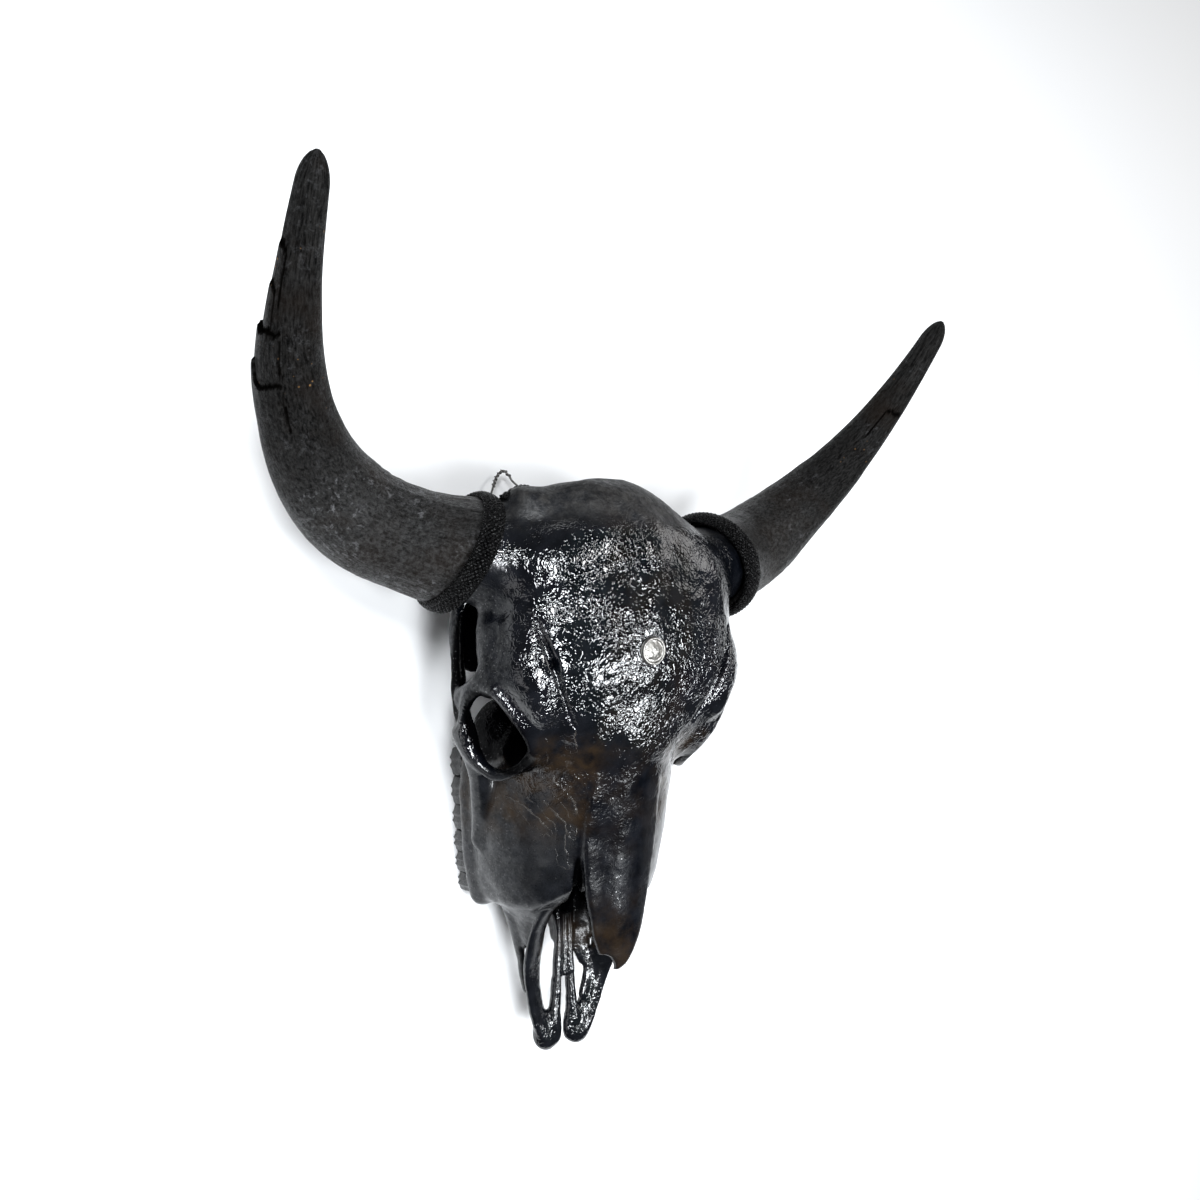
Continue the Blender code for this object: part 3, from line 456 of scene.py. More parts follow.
def buildBone(step):
    f = Field((0, -12, -10), (262, 545, 262), step)
    add, cut = f.add, f.cut
    add(loft([(278, 56, 160, 204, 140), (292, 72, 166, 210, 142), (308, 91, 172, 215, 142),
            (325, 110, 178, 220, 146), (342, 123, 184, 226, 150), (356, 127, 184, 230, 150),
            (375, 123, 184, 233, 150), (400, 120, 180, 236, 148), (425, 119, 176, 238, 140),
            (450, 114, 172, 239, 130), (470, 104, 166, 237, 120), (485, 88, 162, 232, 115),
            (498, 74, 156, 225, 112), (508, 61, 152, 215, 112), (517, 49, 150, 202, 112)], 2.3), 6)
    add(ellipsoid((0, 436, 128), (76, 82, 74)), 14)
    add(ellipsoid((0, 488, 140), (88, 28, 62)), 16)
    add(ellipsoid((0, 497, 202), (46, 20, 16), (-25, 0, 0)), 12)
    add(loft([(98, 44, 76, 100, 56), (115, 49, 80, 112, 54), (130, 55, 84, 135, 52), (138, 63, 84, 146, 43),
            (147, 76, 82, 158, 24), (160, 82, 84, 165, 22), (180, 86, 88, 171, 22), (205, 89, 92, 178, 22),
            (235, 91, 96, 187, 22), (262, 91, 102, 197, 22), (285, 86, 114, 205, 24), (305, 74, 136, 210, 56),
            (330, 60, 150, 214, 96)], 1.95, 3.6), 12)
    # neck and horn core
    t = coreLength * np.arange(5) / 4
    flare = hornFlareAt(t)
    core = hornPath(t) + np.stack([0 * t, 0 * t, hornFlare["rise"] * flare], 1)
    taller, narrower = hornFlare["taller"] * flare, hornFlare["narrower"] * flare
    core = [(*c, r + high, r - low) for c, r, high, low in zip(core, coreRadii, taller, narrower)]
    add(bar([(64, 440, 172, 50, 44), (102, 450, 156, 51, 43), *core]), 18)
    # eye socket roof, cheek and ear region
    add(ellipsoid((86, 316, 158), (38, 44, 38), (0, -10, -20)), 12)
    add(ellipsoid((92, 462, 100), (34, 34, 44), (0, 10, 0)), 16)
    add(ellipsoid((98, 434, 96), (26, 20, 14)), 12)
    add(bar([(122, 304, 112, 12, 9), (108, 272, 108, 11, 8), (97, 238, 90, 8, 6), (90, 205, 72, 5, 4)]), 16)
    add(bar([(69, 150, 38, 12, 15), (73, 185, 37, 14.5, 16), (74.5, 220, 37, 14.5, 16), (75, 255, 38, 14.5, 16),
            (73, 288, 42, 13, 15)], (1, 0, 0)), 10)
    add(ellipsoid((72, 304, 80), (21, 28, 24)), 8)
    # base of the skull
    add(bar([(0, 500, 76, 22, 13), (0, 440, 66, 24, 12), (0, 385, 74, 17, 11), (0, 335, 92, 12, 10)], (1, 0, 0)),
        10)
    add(ellipsoid((27, 505, 80), (19, 19, 26), (-15, -20, 0)), 6)
    add(bar([(72, 478, 84, 20, 12), (72, 484, 52, 16, 10), (66, 488, 26, 11, 8), (63, 488, 7, 8.5, 7.5)],
            (1, 0, 0)), 10)
    add(ellipsoid((46, 436, 60), (13, 20, 17)), 8)
    # brow above the eye
    add(ellipsoid((98, 346, 200), (15, 35, 14), (0, 25, -12)), 14)
    # hollows
    for shape, blend in zip(hollows, (4, 8, 8)):
        cut(shape, blend)
    cut(nasalHollow, 5)
    cut(loft([(60, 40, 20, 54, -30), (120, 44, 20, 53, -30), (160, 52, 15, 52, -30), (220, 57, 15, 52, -30),
            (280, 57, 15, 56, -30), (320, 58, 20, 70, -30)], 2.6), 6)
    cut(loft([(268, 17, 80, 100, 40), (300, 20, 80, 108, 30), (345, 20, 80, 105, 30)], 2.6), 4)
    cut(bar([(0, 540, 104, 21, 18), (0, 500, 106, 19, 17), (0, 470, 112, 24, 24)], (1, 0, 0)), 4)
    cut(bar([(140, 444, 90, 6), (122, 446, 92, 6), (104, 448, 92, 5)]), 3)
    cut(noseFront(), 3)
    # thin bones
    rim = [(127, 340, 181), (109, 318, 187), (91, 295, 181), (88, 275, 158), (100, 266, 131), (117, 284, 118),
           (125, 308, 117), (128, 332, 134), (126, 345, 158), (127, 340, 181)]
    add(bar([(*point, 5.5, 4.5) for point in rim], eyeAxis), 6)
    add(bar([(122, 340, 170, 15, 6), (123, 372, 164, 16, 6), (119, 402, 158, 16, 6), (108, 428, 150, 13, 7)]), 8)
    add(bar([(125, 356, 172, 12, 5), (127, 347, 154, 8, 5), (127, 340, 134, 8, 5), (124, 334, 114, 11, 6)],
            (0, 1, 0)), 6)
    add(bar([(118, 300, 112, 12, 7), (120, 330, 103, 11, 6), (120, 360, 99, 9, 5.5), (120, 390, 99, 9, 5.5),
            (118, 412, 99, 10, 6), (108, 430, 99, 12, 9), (90, 442, 98, 14, 12)]), 8)
    add(ellipsoid((99, 392, 89), (24, 34, 9)), 8)
    add(archedPlate([(89, 3, 161, 1), (93, 9, 163, 1.5), (100, 15, 165, 3), (112, 21.5, 168, 5),
            (125, 26, 171, 6), (140, 29, 174, 7.5), (160, 33, 177, 9), (180, 36, 180, 10), (200, 38, 183, 10),
            (230, 38, 190, 10), (265, 34, 199, 9), (295, 24, 207, 6)], 5.5), 2.5)
    add(bar([(44, 142, 116, 9, 4), (44, 122, 99, 12, 4), (42, 100, 86, 13.5, 4.3), (39, 80, 76, 13, 4.3),
            (35, 60, 70, 11.5, 4.3), (30, 40, 66, 10.5, 4.8), (23, 22, 63, 11, 5.3), (16, 8, 62, 8, 5)],
            (0.8, 0, 0.5)), 4)
    add(bar([(6.5, 150, 66, 5, 4), (6.5, 110, 68, 5, 4), (7, 80, 68, 5, 4), (8, 60, 67, 5, 4),
            (10, 40, 65.5, 5, 4), (12, 24, 64, 7, 4.5)]), 3)
    add(bar([(0, 150, 67, 6, 3), (0, 110, 67, 6, 3), (0, 68, 66.5, 5, 3)], (1, 0, 0)), 3)
    add(ellipsoid((17, 17, 62), (15.5, 18, 6.5)), 4)
    add(bar([(7.5, 62, 66.5, 4.2, 3.6), (8, 42, 65.5, 4.8, 4), (8.5, 24, 63.5, 5.6, 4.6), (9, 9, 62, 5.4, 4.4)],
            (1, 0, 0)), 4)
    add(bar([(54, 140, 58, 9, 5), (48, 118, 60, 8, 4), (43, 95, 60, 6, 3.4), (40, 72, 60, 4.5, 3),
            (38, 58, 61, 3.2, 2.6)]), 5)
    add(bar([(0, 130, 74, 9, 3), (0, 170, 82, 20, 3), (0, 230, 90, 26, 3), (0, 300, 95, 26, 3)]), 3)
    add(bar([(24, 160, 112, 20, 4), (24, 200, 114, 24, 5), (22, 250, 112, 22, 5)], (0.25, 0, 1)), 3)
    add(bar([(29, 318, 104, 26, 4), (30, 330, 78, 20, 3.6), (27, 336, 50, 9, 3)], (0, 1, 0)), 6)
    # open slit between nasal bone and upper jaw
    cut(nasalSlit, 2)
    # groove with its pits above each eye
    groove = np.array([(102, 392, 3, 1.8), (97, 375, 6, 2.6), (91, 359, 7.5, 3), (85, 345, 6, 2.8),
            (76, 326, 4, 2.4), (63, 306, 2.6, 2)])
    x, y = groove[:, 0], groove[:, 1]
    z = f.topAt(x, y)
    cut(bar(np.column_stack([x, y, z + 0.5, groove[:, 2:]])), 3)
    cut(bar([(x[2], y[2], z[2] + 2, 3.2), (x[2] - 2, y[2], z[2] - 12, 2.4)], (1, 0, 0)), 3)
    return f


def leanCrest(p):
    # the crest leans a little to the animal's right and back
    w = band(p[:, 1], 478, 514) * band(p[:, 2], 128, 190) * fall(np.abs(p[:, 0]), 86, 116)
    return p + w[:, None] * crestLean


boneStep = 1.7
bone = buildBone(boneStep)
bone.mirrored()
# fuller right flank of the crest
bone.add(ellipsoid((-72, 489, 175), (39, 22, 27)), 16)
# low ridge down the middle, and a blister with a crack under the stud
ridge = np.array([(6, 484, 5, 10), (5, 455, 5.2, 9), (3, 425, 5.2, 8), (2, 400, 4.8, 7), (2, 388, 4, 6)])
x, y = ridge[:, 0], ridge[:, 1]
bone.add(bar(np.column_stack([x, y, bone.topAt(x, y) - 3.6, ridge[:, 2:]])), 7)
bone.add(ellipsoid((1, 345, 222), (7, 7, 4.6)), 3)
bone.cut(bar([(0, 337, 226, 2.4, 0.9), (3, 332, 224.5, 3, 1.2), (6, 326, 223, 2.4, 1.0),
        (8, 317, 220, 1.6, 0.7)]), 1)
# the palate reaches further forward on the left than on the right
bone.cut(ellipsoid((-15.5, 106, 64), (8.5, 26, 14)), 1.5)
bone.add(bar([(19, 108, 67, 11, 4), (22, 90, 67, 10, 3.6), (25, 76, 66.5, 7, 3.2)], (1, 0, 0)), 4)
bone.add(bar([(29, 84, 68, 6, 3.6), (27, 62, 67, 5, 3.6), (22, 44, 65.5, 4, 3.6)], (1, 0, 0)), 4)
# the right nasal bone ends shorter, with a broken edge
bone.cut(ellipsoid((-15, 88, 163), (13.5, 17, 16), (0, 0, 12)), 1.5)
report(f"bone field {bone.d.shape}")


# ---- materials, all from node patterns
class Look:
    def __init__(self, name):
        self.material = bpy.data.materials.new(name)
        self.material.use_nodes = True
        self.tree = self.material.node_tree
        self.shader = self.tree.nodes["Principled BSDF"]
        self.place = self.node("TexCoord").outputs["Object"]

    def node(self, kind, inputs=None, **settings):
        made = self.tree.nodes.new("ShaderNode" + kind)
        for key, value in settings.items():
            setattr(made, key, value)
        for key, value in (inputs or {}).items():
            self.put(made.inputs[key], value)
        return made

    def put(self, socket, value):
        if isinstance(value, bpy.types.NodeSocket):
            self.tree.links.new(value, socket)
        elif isinstance(value, tuple) and len(value) == 3 and socket.type == "RGBA":
            socket.default_value = (*value, 1)
        else:
            socket.default_value = value

    def noise(self, scale, detail=3, rough=0.5, distort=0.0, place=None):
        return self.node("TexNoise", {"Vector": place or self.place, "Scale": scale, "Detail": detail,
                                      "Roughness": rough, "Distortion": distort}).outputs["Fac"]

    def cells(self, scale, place=None, feature="F1"):
        inputs = {"Vector": place or self.place, "Scale": scale}
        return self.node("TexVoronoi", inputs, feature=feature).outputs["Distance"]

    def math(self, operation, a, b=0.0):
        return self.node("Math", {0: a, 1: b}, operation=operation).outputs[0]

    def times(self, a, b):
        return self.math("MULTIPLY", a, b)

    def plus(self, a, b):
        return self.math("ADD", a, b)

    def less(self, a, b):
        return self.math("SUBTRACT", a, b)

    def dimmed(self, value, share, amount):
        return self.times(value, self.less(1.0, self.times(share, amount)))

    def span(self, value, low, high, start=0.0, end=1.0):
        inputs = {"Value": value, "From Min": low, "From Max": high, "To Min": start, "To Max": end}
        return self.node("MapRange", inputs, interpolation_type="SMOOTHSTEP").outputs["Result"]

    def mix(self, share, a, b):
        made = self.node("Mix", data_type="RGBA")
        for socket, value in zip((made.inputs[0], made.inputs[6], made.inputs[7]), (share, a, b)):
            self.put(socket, value)
        return made.outputs[2]

    def attribute(self, name, output="Fac"):
        return self.node("Attribute", attribute_name=name).outputs[output]

    def bump(self, height, depth, strength=1.0, after=None):
        made = self.node("Bump", {"Height": height, "Distance": depth, "Strength": strength})
        if after:
            self.put(made.inputs["Normal"], after)
        return made.outputs["Normal"]

    def finish(self, **sockets):
        for key, value in sockets.items():
            self.put(self.shader.inputs[key.replace("_", " ")], value)
        return self.material


boneColours = {
    "black": (0.0012, 0.0016, 0.0026),
    "worn": (0.0045, 0.0052, 0.0072),
    "brown": (0.021, 0.013, 0.0068),
    "dusty": (0.022, 0.021, 0.020),
    "suture": (0.06, 0.052, 0.045),
    "paintedShade": (0.0006, 0.0006, 0.0008),
}
boneMarks = ("wrinkle", "tint", "dull", "recessShade", "satin", "seam")


def bonePaint():
    look = Look("bonePaint")
    mix, span, noise, bump = look.mix, look.span, look.noise, look.bump
    times, plus, less, dimmed = look.times, look.plus, look.less, look.dimmed
    wrinkle, tint, dull, recessShade, satin, seam = (look.attribute(word) for word in boneMarks)
    grain = noise(60, 4, 0.6)
    colour = mix(span(grain, 0.35, 0.7), boneColours["black"], boneColours["worn"])
    colour = mix(times(tint, span(noise(45, 3, 0.6), 0.3, 0.72)), colour, boneColours["brown"])
    colour = mix(times(dull, span(noise(90, 5, 0.65), 0.3, 0.75)), colour, boneColours["dusty"])
    # the sutures wander and fade here and there
    seam = plus(seam, times(less(noise(150, 3), 0.5), 7.0))
    seam = times(span(look.math("ABSOLUTE", seam), 0.25, 1.0, 1.0, 0.0), span(noise(60, 2), 0.36, 0.56))
    colour = mix(times(seam, 0.5), colour, boneColours["suture"])
    # painted shade: the eye sockets, the nasal cavity and the nasal slit are coloured near-black, darker than
    # the paint
    colour = mix(recessShade, colour, boneColours["paintedShade"])
    # wrinkled lacquer: small domes parted by a winding net of creases
    drift = look.node("TexNoise", {"Vector": look.place, "Scale": 120, "Detail": 2}).outputs["Color"]
    drift = look.node("VectorMath", {0: drift, 1: (0.5, 0.5, 0.5)}, operation="SUBTRACT").outputs[0]
    drift = look.node("VectorMath", {0: drift, "Scale": 0.016}, operation="SCALE").outputs[0]
    place = look.node("VectorMath", {0: look.place, 1: drift}, operation="ADD").outputs[0]
    domes = span(look.cells(170, place, "DISTANCE_TO_EDGE"), 0.0, 0.28)
    uneven = times(wrinkle, span(noise(24, 2, 0.5), 0.38, 0.6, 0.35, 1.0))
    normal = bump(domes, 0.0004, times(uneven, 0.8))
    normal = bump(noise(55, 3, 0.5, 0.6), 0.0013, plus(times(wrinkle, 0.6), 0.05), normal)
    normal = bump(noise(420, 2, 0.5), 0.0002, plus(times(uneven, 0.4), 0.08), normal)
    normal = bump(noise(130, 5, 0.65, 0.8), 0.0016, times(dull, 0.7), normal)
    normal = bump(seam, 0.0012, 0.9, normal)
    # smooth and glossy where it is wrinkled, mottled and duller on the flanks and the crest
    rough = plus(plus(times(less(1.0, wrinkle), 0.26), 0.06), times(dull, 0.3))
    rough = plus(rough, times(less(grain, 0.5), 0.08))
    shine = dimmed(plus(0.5, times(uneven, 0.3)), recessShade, 0.95)
    shine = dimmed(dimmed(shine, satin, 0.78), tint, 0.4)
    mottle = span(noise(210, 5, 0.72, 0.5), 0.36, 0.66, 0.3, 1.15)
    shine = times(shine, plus(1.0, times(look.math("MAXIMUM", dull, satin), less(mottle, 1.0))))
    # small bright grains on the satin paint
    glint = span(noise(520, 2, 0.5), 0.64, 0.7)
    shine = plus(shine, times(glint, times(satin, 0.4)))
    rough = less(rough, times(glint, 0.12))
    return look.finish(Base_Color=colour, Roughness=rough, Normal=normal, IOR=1.5, Specular_IOR_Level=shine)


hornColours = {
    "dark": (0.0008, 0.0008, 0.0008),
    "pale": (0.0140, 0.0135, 0.0130),
    "brown": (0.0080, 0.0056, 0.0042),
    "scuff": (0.10, 0.10, 0.104),
    "fleck": (0.22, 0.12, 0.045),
    "edgeShadeAndDirt": (0.0008, 0.0007, 0.0006),
}


def hornLook(name, flecks):
    look = Look(name)
    mix, span, noise, times = look.mix, look.span, look.noise, look.times
    fibre = look.attribute("fibre", "Vector")
    along, edgeShadeAndDirt = look.attribute("along"), look.attribute("edgeShadeAndDirt")
    streak = noise(1.0, 5, 0.65, 0.3, fibre)
    patch = noise(16, 4, 0.6)
    colour = mix(span(streak, 0.34, 0.68), hornColours["dark"], hornColours["pale"])
    colour = mix(span(patch, 0.44, 0.7, 0.0, 0.7), colour, hornColours["brown"])
    scuff = times(span(noise(170, 5, 0.75, 0.4), 0.52, 0.66), span(noise(20, 3, 0.6), 0.42, 0.62))
    colour = mix(times(scuff, span(along, 0.62, 0.3, 0.2, 0.75)), colour, hornColours["scuff"])
    speck = span(look.cells(150), 0.17, 0.08)
    some = span(noise(42, 2), 0.52, 0.62)
    where = times(span(along, 0.6, 0.75), span(along, 0.97, 0.9))
    shown = times(times(speck, some), times(where, flecks))
    colour = mix(shown, colour, hornColours["fleck"])
    # painted shade, with dirt: near-black where each flaking layer's edge steps down onto the horn below
    colour = mix(edgeShadeAndDirt, colour, hornColours["edgeShadeAndDirt"])
    normal = look.bump(streak, 0.0014, 0.9)
    normal = look.bump(noise(330, 4, 0.7), 0.0012, 0.75, normal)
    normal = look.bump(noise(70, 3, 0.6), 0.0025, 0.3, normal)
    rough = span(patch, 0.3, 0.7, 0.4, 0.55)
    shine = look.less(span(along, 0.62, 0.1, 0.035, 0.22), times(edgeShadeAndDirt, 0.18))
    mottle = span(noise(290, 5, 0.72, 0.4), 0.38, 0.64, 0.3, 1.65)
    shine = times(shine, mottle)
    return look.finish(Base_Color=colour, Roughness=rough, Normal=normal, Specular_IOR_Level=shine)


def plainPaint(name, scale, dark, pale, bumps, rough, shine):
    look = Look(name)
    colour = look.mix(look.span(look.noise(scale, 3), 0.35, 0.7), dark, pale)
    bumpScale, bumpRough, depth, strength = bumps
    normal = look.bump(look.noise(bumpScale, 3, bumpRough), depth, strength)
    if isinstance(shine, tuple):
        shine = look.span(look.noise(700, 3, 0.6), 0.48, 0.66, *shine)
    return look.finish(Base_Color=colour, Roughness=rough, Normal=normal, Specular_IOR_Level=shine)


def metalLook(name, colour, rough):
    look = Look(name)
    worn = look.span(look.noise(500, 4, 0.6), 0.3, 0.7)
    shade = look.mix(worn, tuple(0.62 * c for c in colour), colour)
    normal = look.bump(look.noise(900, 3), 0.0003, 0.5)
    rough = look.span(worn, 0, 1, rough + 0.15, rough)
    return look.finish(Base_Color=shade, Metallic=1.0, Roughness=rough, Normal=normal)


# ---- skull piece
skullSettings = {
    "faces": 186000,
    "coarseRelief": 0.8,
    "fineRelief": 0.28,
}

# sutures as seen from above: x, y; the height comes from the bone
sutures = [
    [(78, 283), (72, 275), (67, 270), (63, 260), (59, 256), (56, 250), (49, 243), (46, 237)],
    [(88, 268), (84, 262), (80, 257), (76, 252), (74, 247)],
    [(66, 240), (63, 235), (58, 229), (54, 225), (51, 216), (51, 205), (49, 196), (47, 190)],
    [(86, 246), (80, 240), (74, 233), (69, 226), (64, 220)],
    [(46, 237), (45, 225), (44, 213)],
    [(62, 302), (60, 296), (57, 291)],
]


def distanceToPath(points, path):
    # signed side distance to a line, and the plain distance
    best = np.full(len(points), 99.0)
    signed = np.full(len(points), 99.0)
    for a, b in zip(path[:-1], path[1:]):
        d = b - a
        t = np.clip((points - a) @ d / d.dot(d), 0, 1)
        off = points - a - t[:, None] * d
        far = np.linalg.norm(off, axis=1)
        side = np.sign(off[:, 1] * d[0] - off[:, 0] * d[1])
        closer = far < best
        best[closer] = far[closer]
        signed[closer] = (far * side)[closer]
    return signed, best


def makeSkull():
    points, faces = bone.surface()
    obj = makeMesh("skull_bone", leanCrest(points), faces)
    mesh = obj.data
    p = np.empty(len(mesh.vertices) * 3, np.float32)
    mesh.vertices.foreach_get("co", p)
    p = p.reshape(-1, 3) * 1000 + [0, noseToOrigin, 0]
    n = np.empty(len(p) * 3, np.float32)
    mesh.vertex_normals.foreach_get("vector", n)
    n = n.reshape(-1, 3)
    x, y, z = np.abs(p[:, 0]), p[:, 1], p[:, 2]
    upward = band(n[:, 2], -0.1, 0.45)
    forehead = band(y, 262, 300) * fall(y, 470, 492) * upward
    nasal = band(y, 120, 270) * fall(x, 38, 52) * upward * 0.3
    lacrimal = band(y, 232, 262) * fall(y, 292, 312) * fall(x, 78, 92) * upward
    wrinkle = np.clip(np.maximum(np.maximum(forehead, nasal), 0.6 * lacrimal) + 0.12, 0, 1)
    jaw = 0.55 * fall(y, 60, 120) + 0.35 * fall(y, 110, 150)
    wrinkle = np.maximum(wrinkle, jaw * 0.7)
    temple = band(x, 112, 128) * band(y, 330, 345) * fall(y, 440, 455)
    wrinkle *= 1 - 0.75 * temple
    brown = band(y, 196, 236) * fall(y, 285, 305) * band(x, 24, 42) * fall(x, 88, 99)
    tint = np.clip(brown * 0.9 + 0.7 * fall(y, 112, 175) * band(y, 85, 95) * fall(x, 34, 44) * upward, 0, 1)
    tint = np.maximum(tint, 0.7 * nasal)
    dull = band(y, 462, 500) * band(z, 150, 205)
    q = np.column_stack([x, y, z])
    # painted shade mask: 1 inside and close to the eye sockets, the nasal cavity and the nasal slit
    deep = np.min([shape[0](*q.T) for shape in hollows + [ellipsoid((84, 330, 96), (44, 52, 48))]], axis=0)
    recessShade = np.maximum(1 - band(deep, 1.0, 5.0), fall(nasalHollow[0](*q.T), 0.6, 3.0) * band(y, 104, 128))
    recessShade = np.maximum(recessShade, 1 - band(nasalSlit[0](*q.T), 0.3, 1.6))
    satin = band(y, 96, 120) * fall(y, 262, 285) * fall(x, 40, 50) * upward * fall(p[:, 0], 14, 22)
    # flanks mirror the floor, so they are kept less glossy
    flank = fall(n[:, 2], 0.3, 0.85) * (1 - wrinkle)
    satin = np.clip(np.maximum(satin, flank * (0.8 + 0.6 * band(y, 290, 345))), 0, 1)
    seam = np.full(len(p), 9.0)
    for way in sutures:
        way = smoothPath(way, 6)
        line = np.column_stack([way, bone.topAt(way[:, 0], way[:, 1])])
        for side in (1, -1):
            signed, far = distanceToPath(p, line * [side, 1, 1])
            closer = far < np.abs(seam)
            seam[closer] = signed[closer]
    seam = np.clip(seam, -9, 9)
    # gentle relief, stronger where the lacquer has crinkled
    relief = skullSettings["coarseRelief"] * layeredNoise(p, 1 / 26, 3)
    relief = relief + skullSettings["fineRelief"] * wrinkle * layeredNoise(p, 1 / 7, 9, 2)
    p = p + n * relief[:, None]
    mesh.vertices.foreach_set("co", toMetres(p).astype(np.float32).ravel())
    for word, values in zip(boneMarks, (wrinkle, tint, dull, recessShade, satin, seam)):
        addValues(obj, word, values)
    thin = obj.modifiers.new("Decimate", "DECIMATE")
    thin.ratio = min(1.0, skullSettings["faces"] / (2 * len(faces)))
    obj.data.materials.append(bonePaint())
    return attach(obj, "bone_paint", "skull")


skull = makeSkull()
report(f"skull {len(skull.data.polygons)} faces before thinning")


# ---- horn sheaths
hornSettings = {
    "rings": 330,
    "sides": 168,
    "socketRings": 16,
    "tipRounding": 10.0,
    "fibreRelief": 0.34,
    "growthRelief": 0.55,
    "lipOut": 10.0,
    "lipBack": 6.0,
    "lipReach": 0.075,
}


def hornFrame(t):
    tangent = unit(hornPath(np.minimum(t + 0.01, 1)) - hornPath(np.maximum(t - 0.01, 0)))
    tall = unit([0, 0, 1.0] - tangent[:, 2:] * tangent)
    return tangent, tall, np.cross(tangent, tall)


def hornRings(t, radius, sides, lip=None):
    # radius may change round the ring; towards the base the ring grows taller and leans along the cord
    flare = hornFlareAt(t)[:, None]
    centre = hornPath(t) + flare * [0, 0, hornFlare["rise"]]
    tangent, tall, thin = hornFrame(t)
    angle = circle(sides)
    radius = np.broadcast_to(radius, (len(t), sides))
    high = (radius + hornFlare["taller"] * flare) * np.cos(angle)
    wide = (radius - hornFlare["narrower"] * flare) * np.sin(angle)
    offset = high[..., None] * tall[:, None] + wide[..., None] * thin[:, None]
    lean = -(offset @ cordAxis) / (tangent @ cordAxis)[:, None]
    points = centre[:, None] + offset + (lean * flare)[..., None] * tangent[:, None]
    if lip is None:
        return points
    # the rim turns out, most of all below
    turnedOut = (lip[:, None] * (0.62 - 0.34 * np.cos(angle)))[..., None]
    out, back = hornSettings["lipOut"], hornSettings["lipBack"]
    return points + out * turnedOut * unit(offset) - back * turnedOut * tangent[:, None]


def makeHorn(name, side, node, seed, flecks):
    s = hornSettings
    rings, sides = s["rings"], s["sides"]
    t = np.linspace(0, 1, rings) ** 0.94
    left = (1 - t) * hornLength
    rounding = np.sqrt(np.maximum(0, 1 - (1 - np.minimum(left / s["tipRounding"], 1)) ** 2))
    radius = np.maximum(radiusAlong(t, hornRadii) * rounding, 1.6)
    angle = circle(sides)
    ringT, ringA = np.meshgrid(t, angle, indexing="ij")
    ca, sa = np.cos(ringA).ravel(), np.sin(ringA).ravel()
    travel = ringT.ravel() * hornLength
    base = fall(ringT.ravel(), 0.05, 0.62)
    fibres = layeredNoise(np.column_stack([travel / 70, ca * 9, sa * 9]), 1.0, seed, 3)
    growth = layeredNoise(np.column_stack([travel / 11, ca * 0.8, sa * 0.8]), 1.0, seed + 7, 2)
    lumps = layeredNoise(np.column_stack([travel / 45, ca * 1.6, sa * 1.6]), 1.0, seed + 12, 2)
    relief = s["fibreRelief"] * (0.35 + base) * fibres
    relief = relief + s["growthRelief"] * base * growth + 0.7 * lumps
    relief = relief.reshape(rings, sides) * np.minimum(1, radius / 14)[:, None]
    edgeShadeAndDirt = np.zeros_like(ringT)
    for layer in hornLayers[node]:
        height, shadow = hornLayer(ringT, ringA, **layer)
        relief = relief + height
        edgeShadeAndDirt = np.maximum(edgeShadeAndDirt, shadow)
    lip = np.maximum(0, 1 - t / s["lipReach"]) ** 1.5
    outer = hornRings(t, radius[:, None] + relief, sides, lip)
    socketT = 0.44 * np.linspace(1, 0, s["socketRings"])
    coreWide = radiusAlong(socketT, coreRadii, coreLength) + 2
    inner = hornRings(socketT, coreWide[:, None], sides)
    points = np.concatenate([inner, outer]).reshape(-1, 3)
    faces = gridFaces(len(inner) + rings, sides)
    if side < 0:
        points = points * [-1, 1, 1]
    else:
        faces = faces[:, ::-1]
    obj = makePiece(name, points, faces, hornLook(name, flecks), "horn", node)
    allT = np.concatenate([np.repeat(socketT, sides), ringT.ravel()])
    allA = np.concatenate([np.tile(angle, len(socketT)), ringA.ravel()])
    wide = np.interp(allT, np.linspace(0, 1, len(hornRadii)), hornRadii)
    fibre = np.column_stack([allT * hornLength / 7, np.cos(allA) * wide / 1.5, np.sin(allA) * wide / 1.5])
    addValues(obj, "fibre", fibre, "FLOAT_VECTOR")
    addValues(obj, "along", allT)
    addValues(obj, "edgeShadeAndDirt", np.concatenate([np.zeros(len(socketT) * sides), edgeShadeAndDirt.ravel()]))


# flaking layers: how far along the horn each reaches at an angle round it, and its thickness
hornLayers = {
    "horn_right": [
        {"edge": [(0.70, 0.65), (0.76, 0.70), (0.84, 0.709), (1.1, 0.702), (1.36, 0.689), (1.6, 0.688),
                (1.74, 0.692), (1.82, 0.738), (1.93, 0.728), (2.3, 0.69), (2.7, 0.67), (3.0, 0.63)],
                "thick": 2.3},
        {"edge": [(0.80, 0.79), (0.86, 0.806), (1.05, 0.800), (1.29, 0.806), (1.5, 0.800), (1.66, 0.794),
                (1.8, 0.798), (1.92, 0.796), (2.3, 0.80), (2.8, 0.77), (3.2, 0.73)], "thick": 3.4},
        {"edge": [(1.2, 0.86), (1.5, 0.872), (1.8, 0.868), (2.3, 0.86)], "thick": 0.9},
        {"edge": [(1.0, 0.912), (1.4, 0.919), (1.9, 0.915), (2.5, 0.91)], "thick": 0.7},
    ],
    "horn_left": [
        {"edge": [(5.6, 0.855), (5.9, 0.862), (6.2, 0.858), (6.5, 0.862), (6.8, 0.855)], "thick": 0.8},
        {"edge": [(2.6, 0.60), (3.0, 0.62), (3.5, 0.61), (4.0, 0.59)], "thick": 1.2},
    ],
}


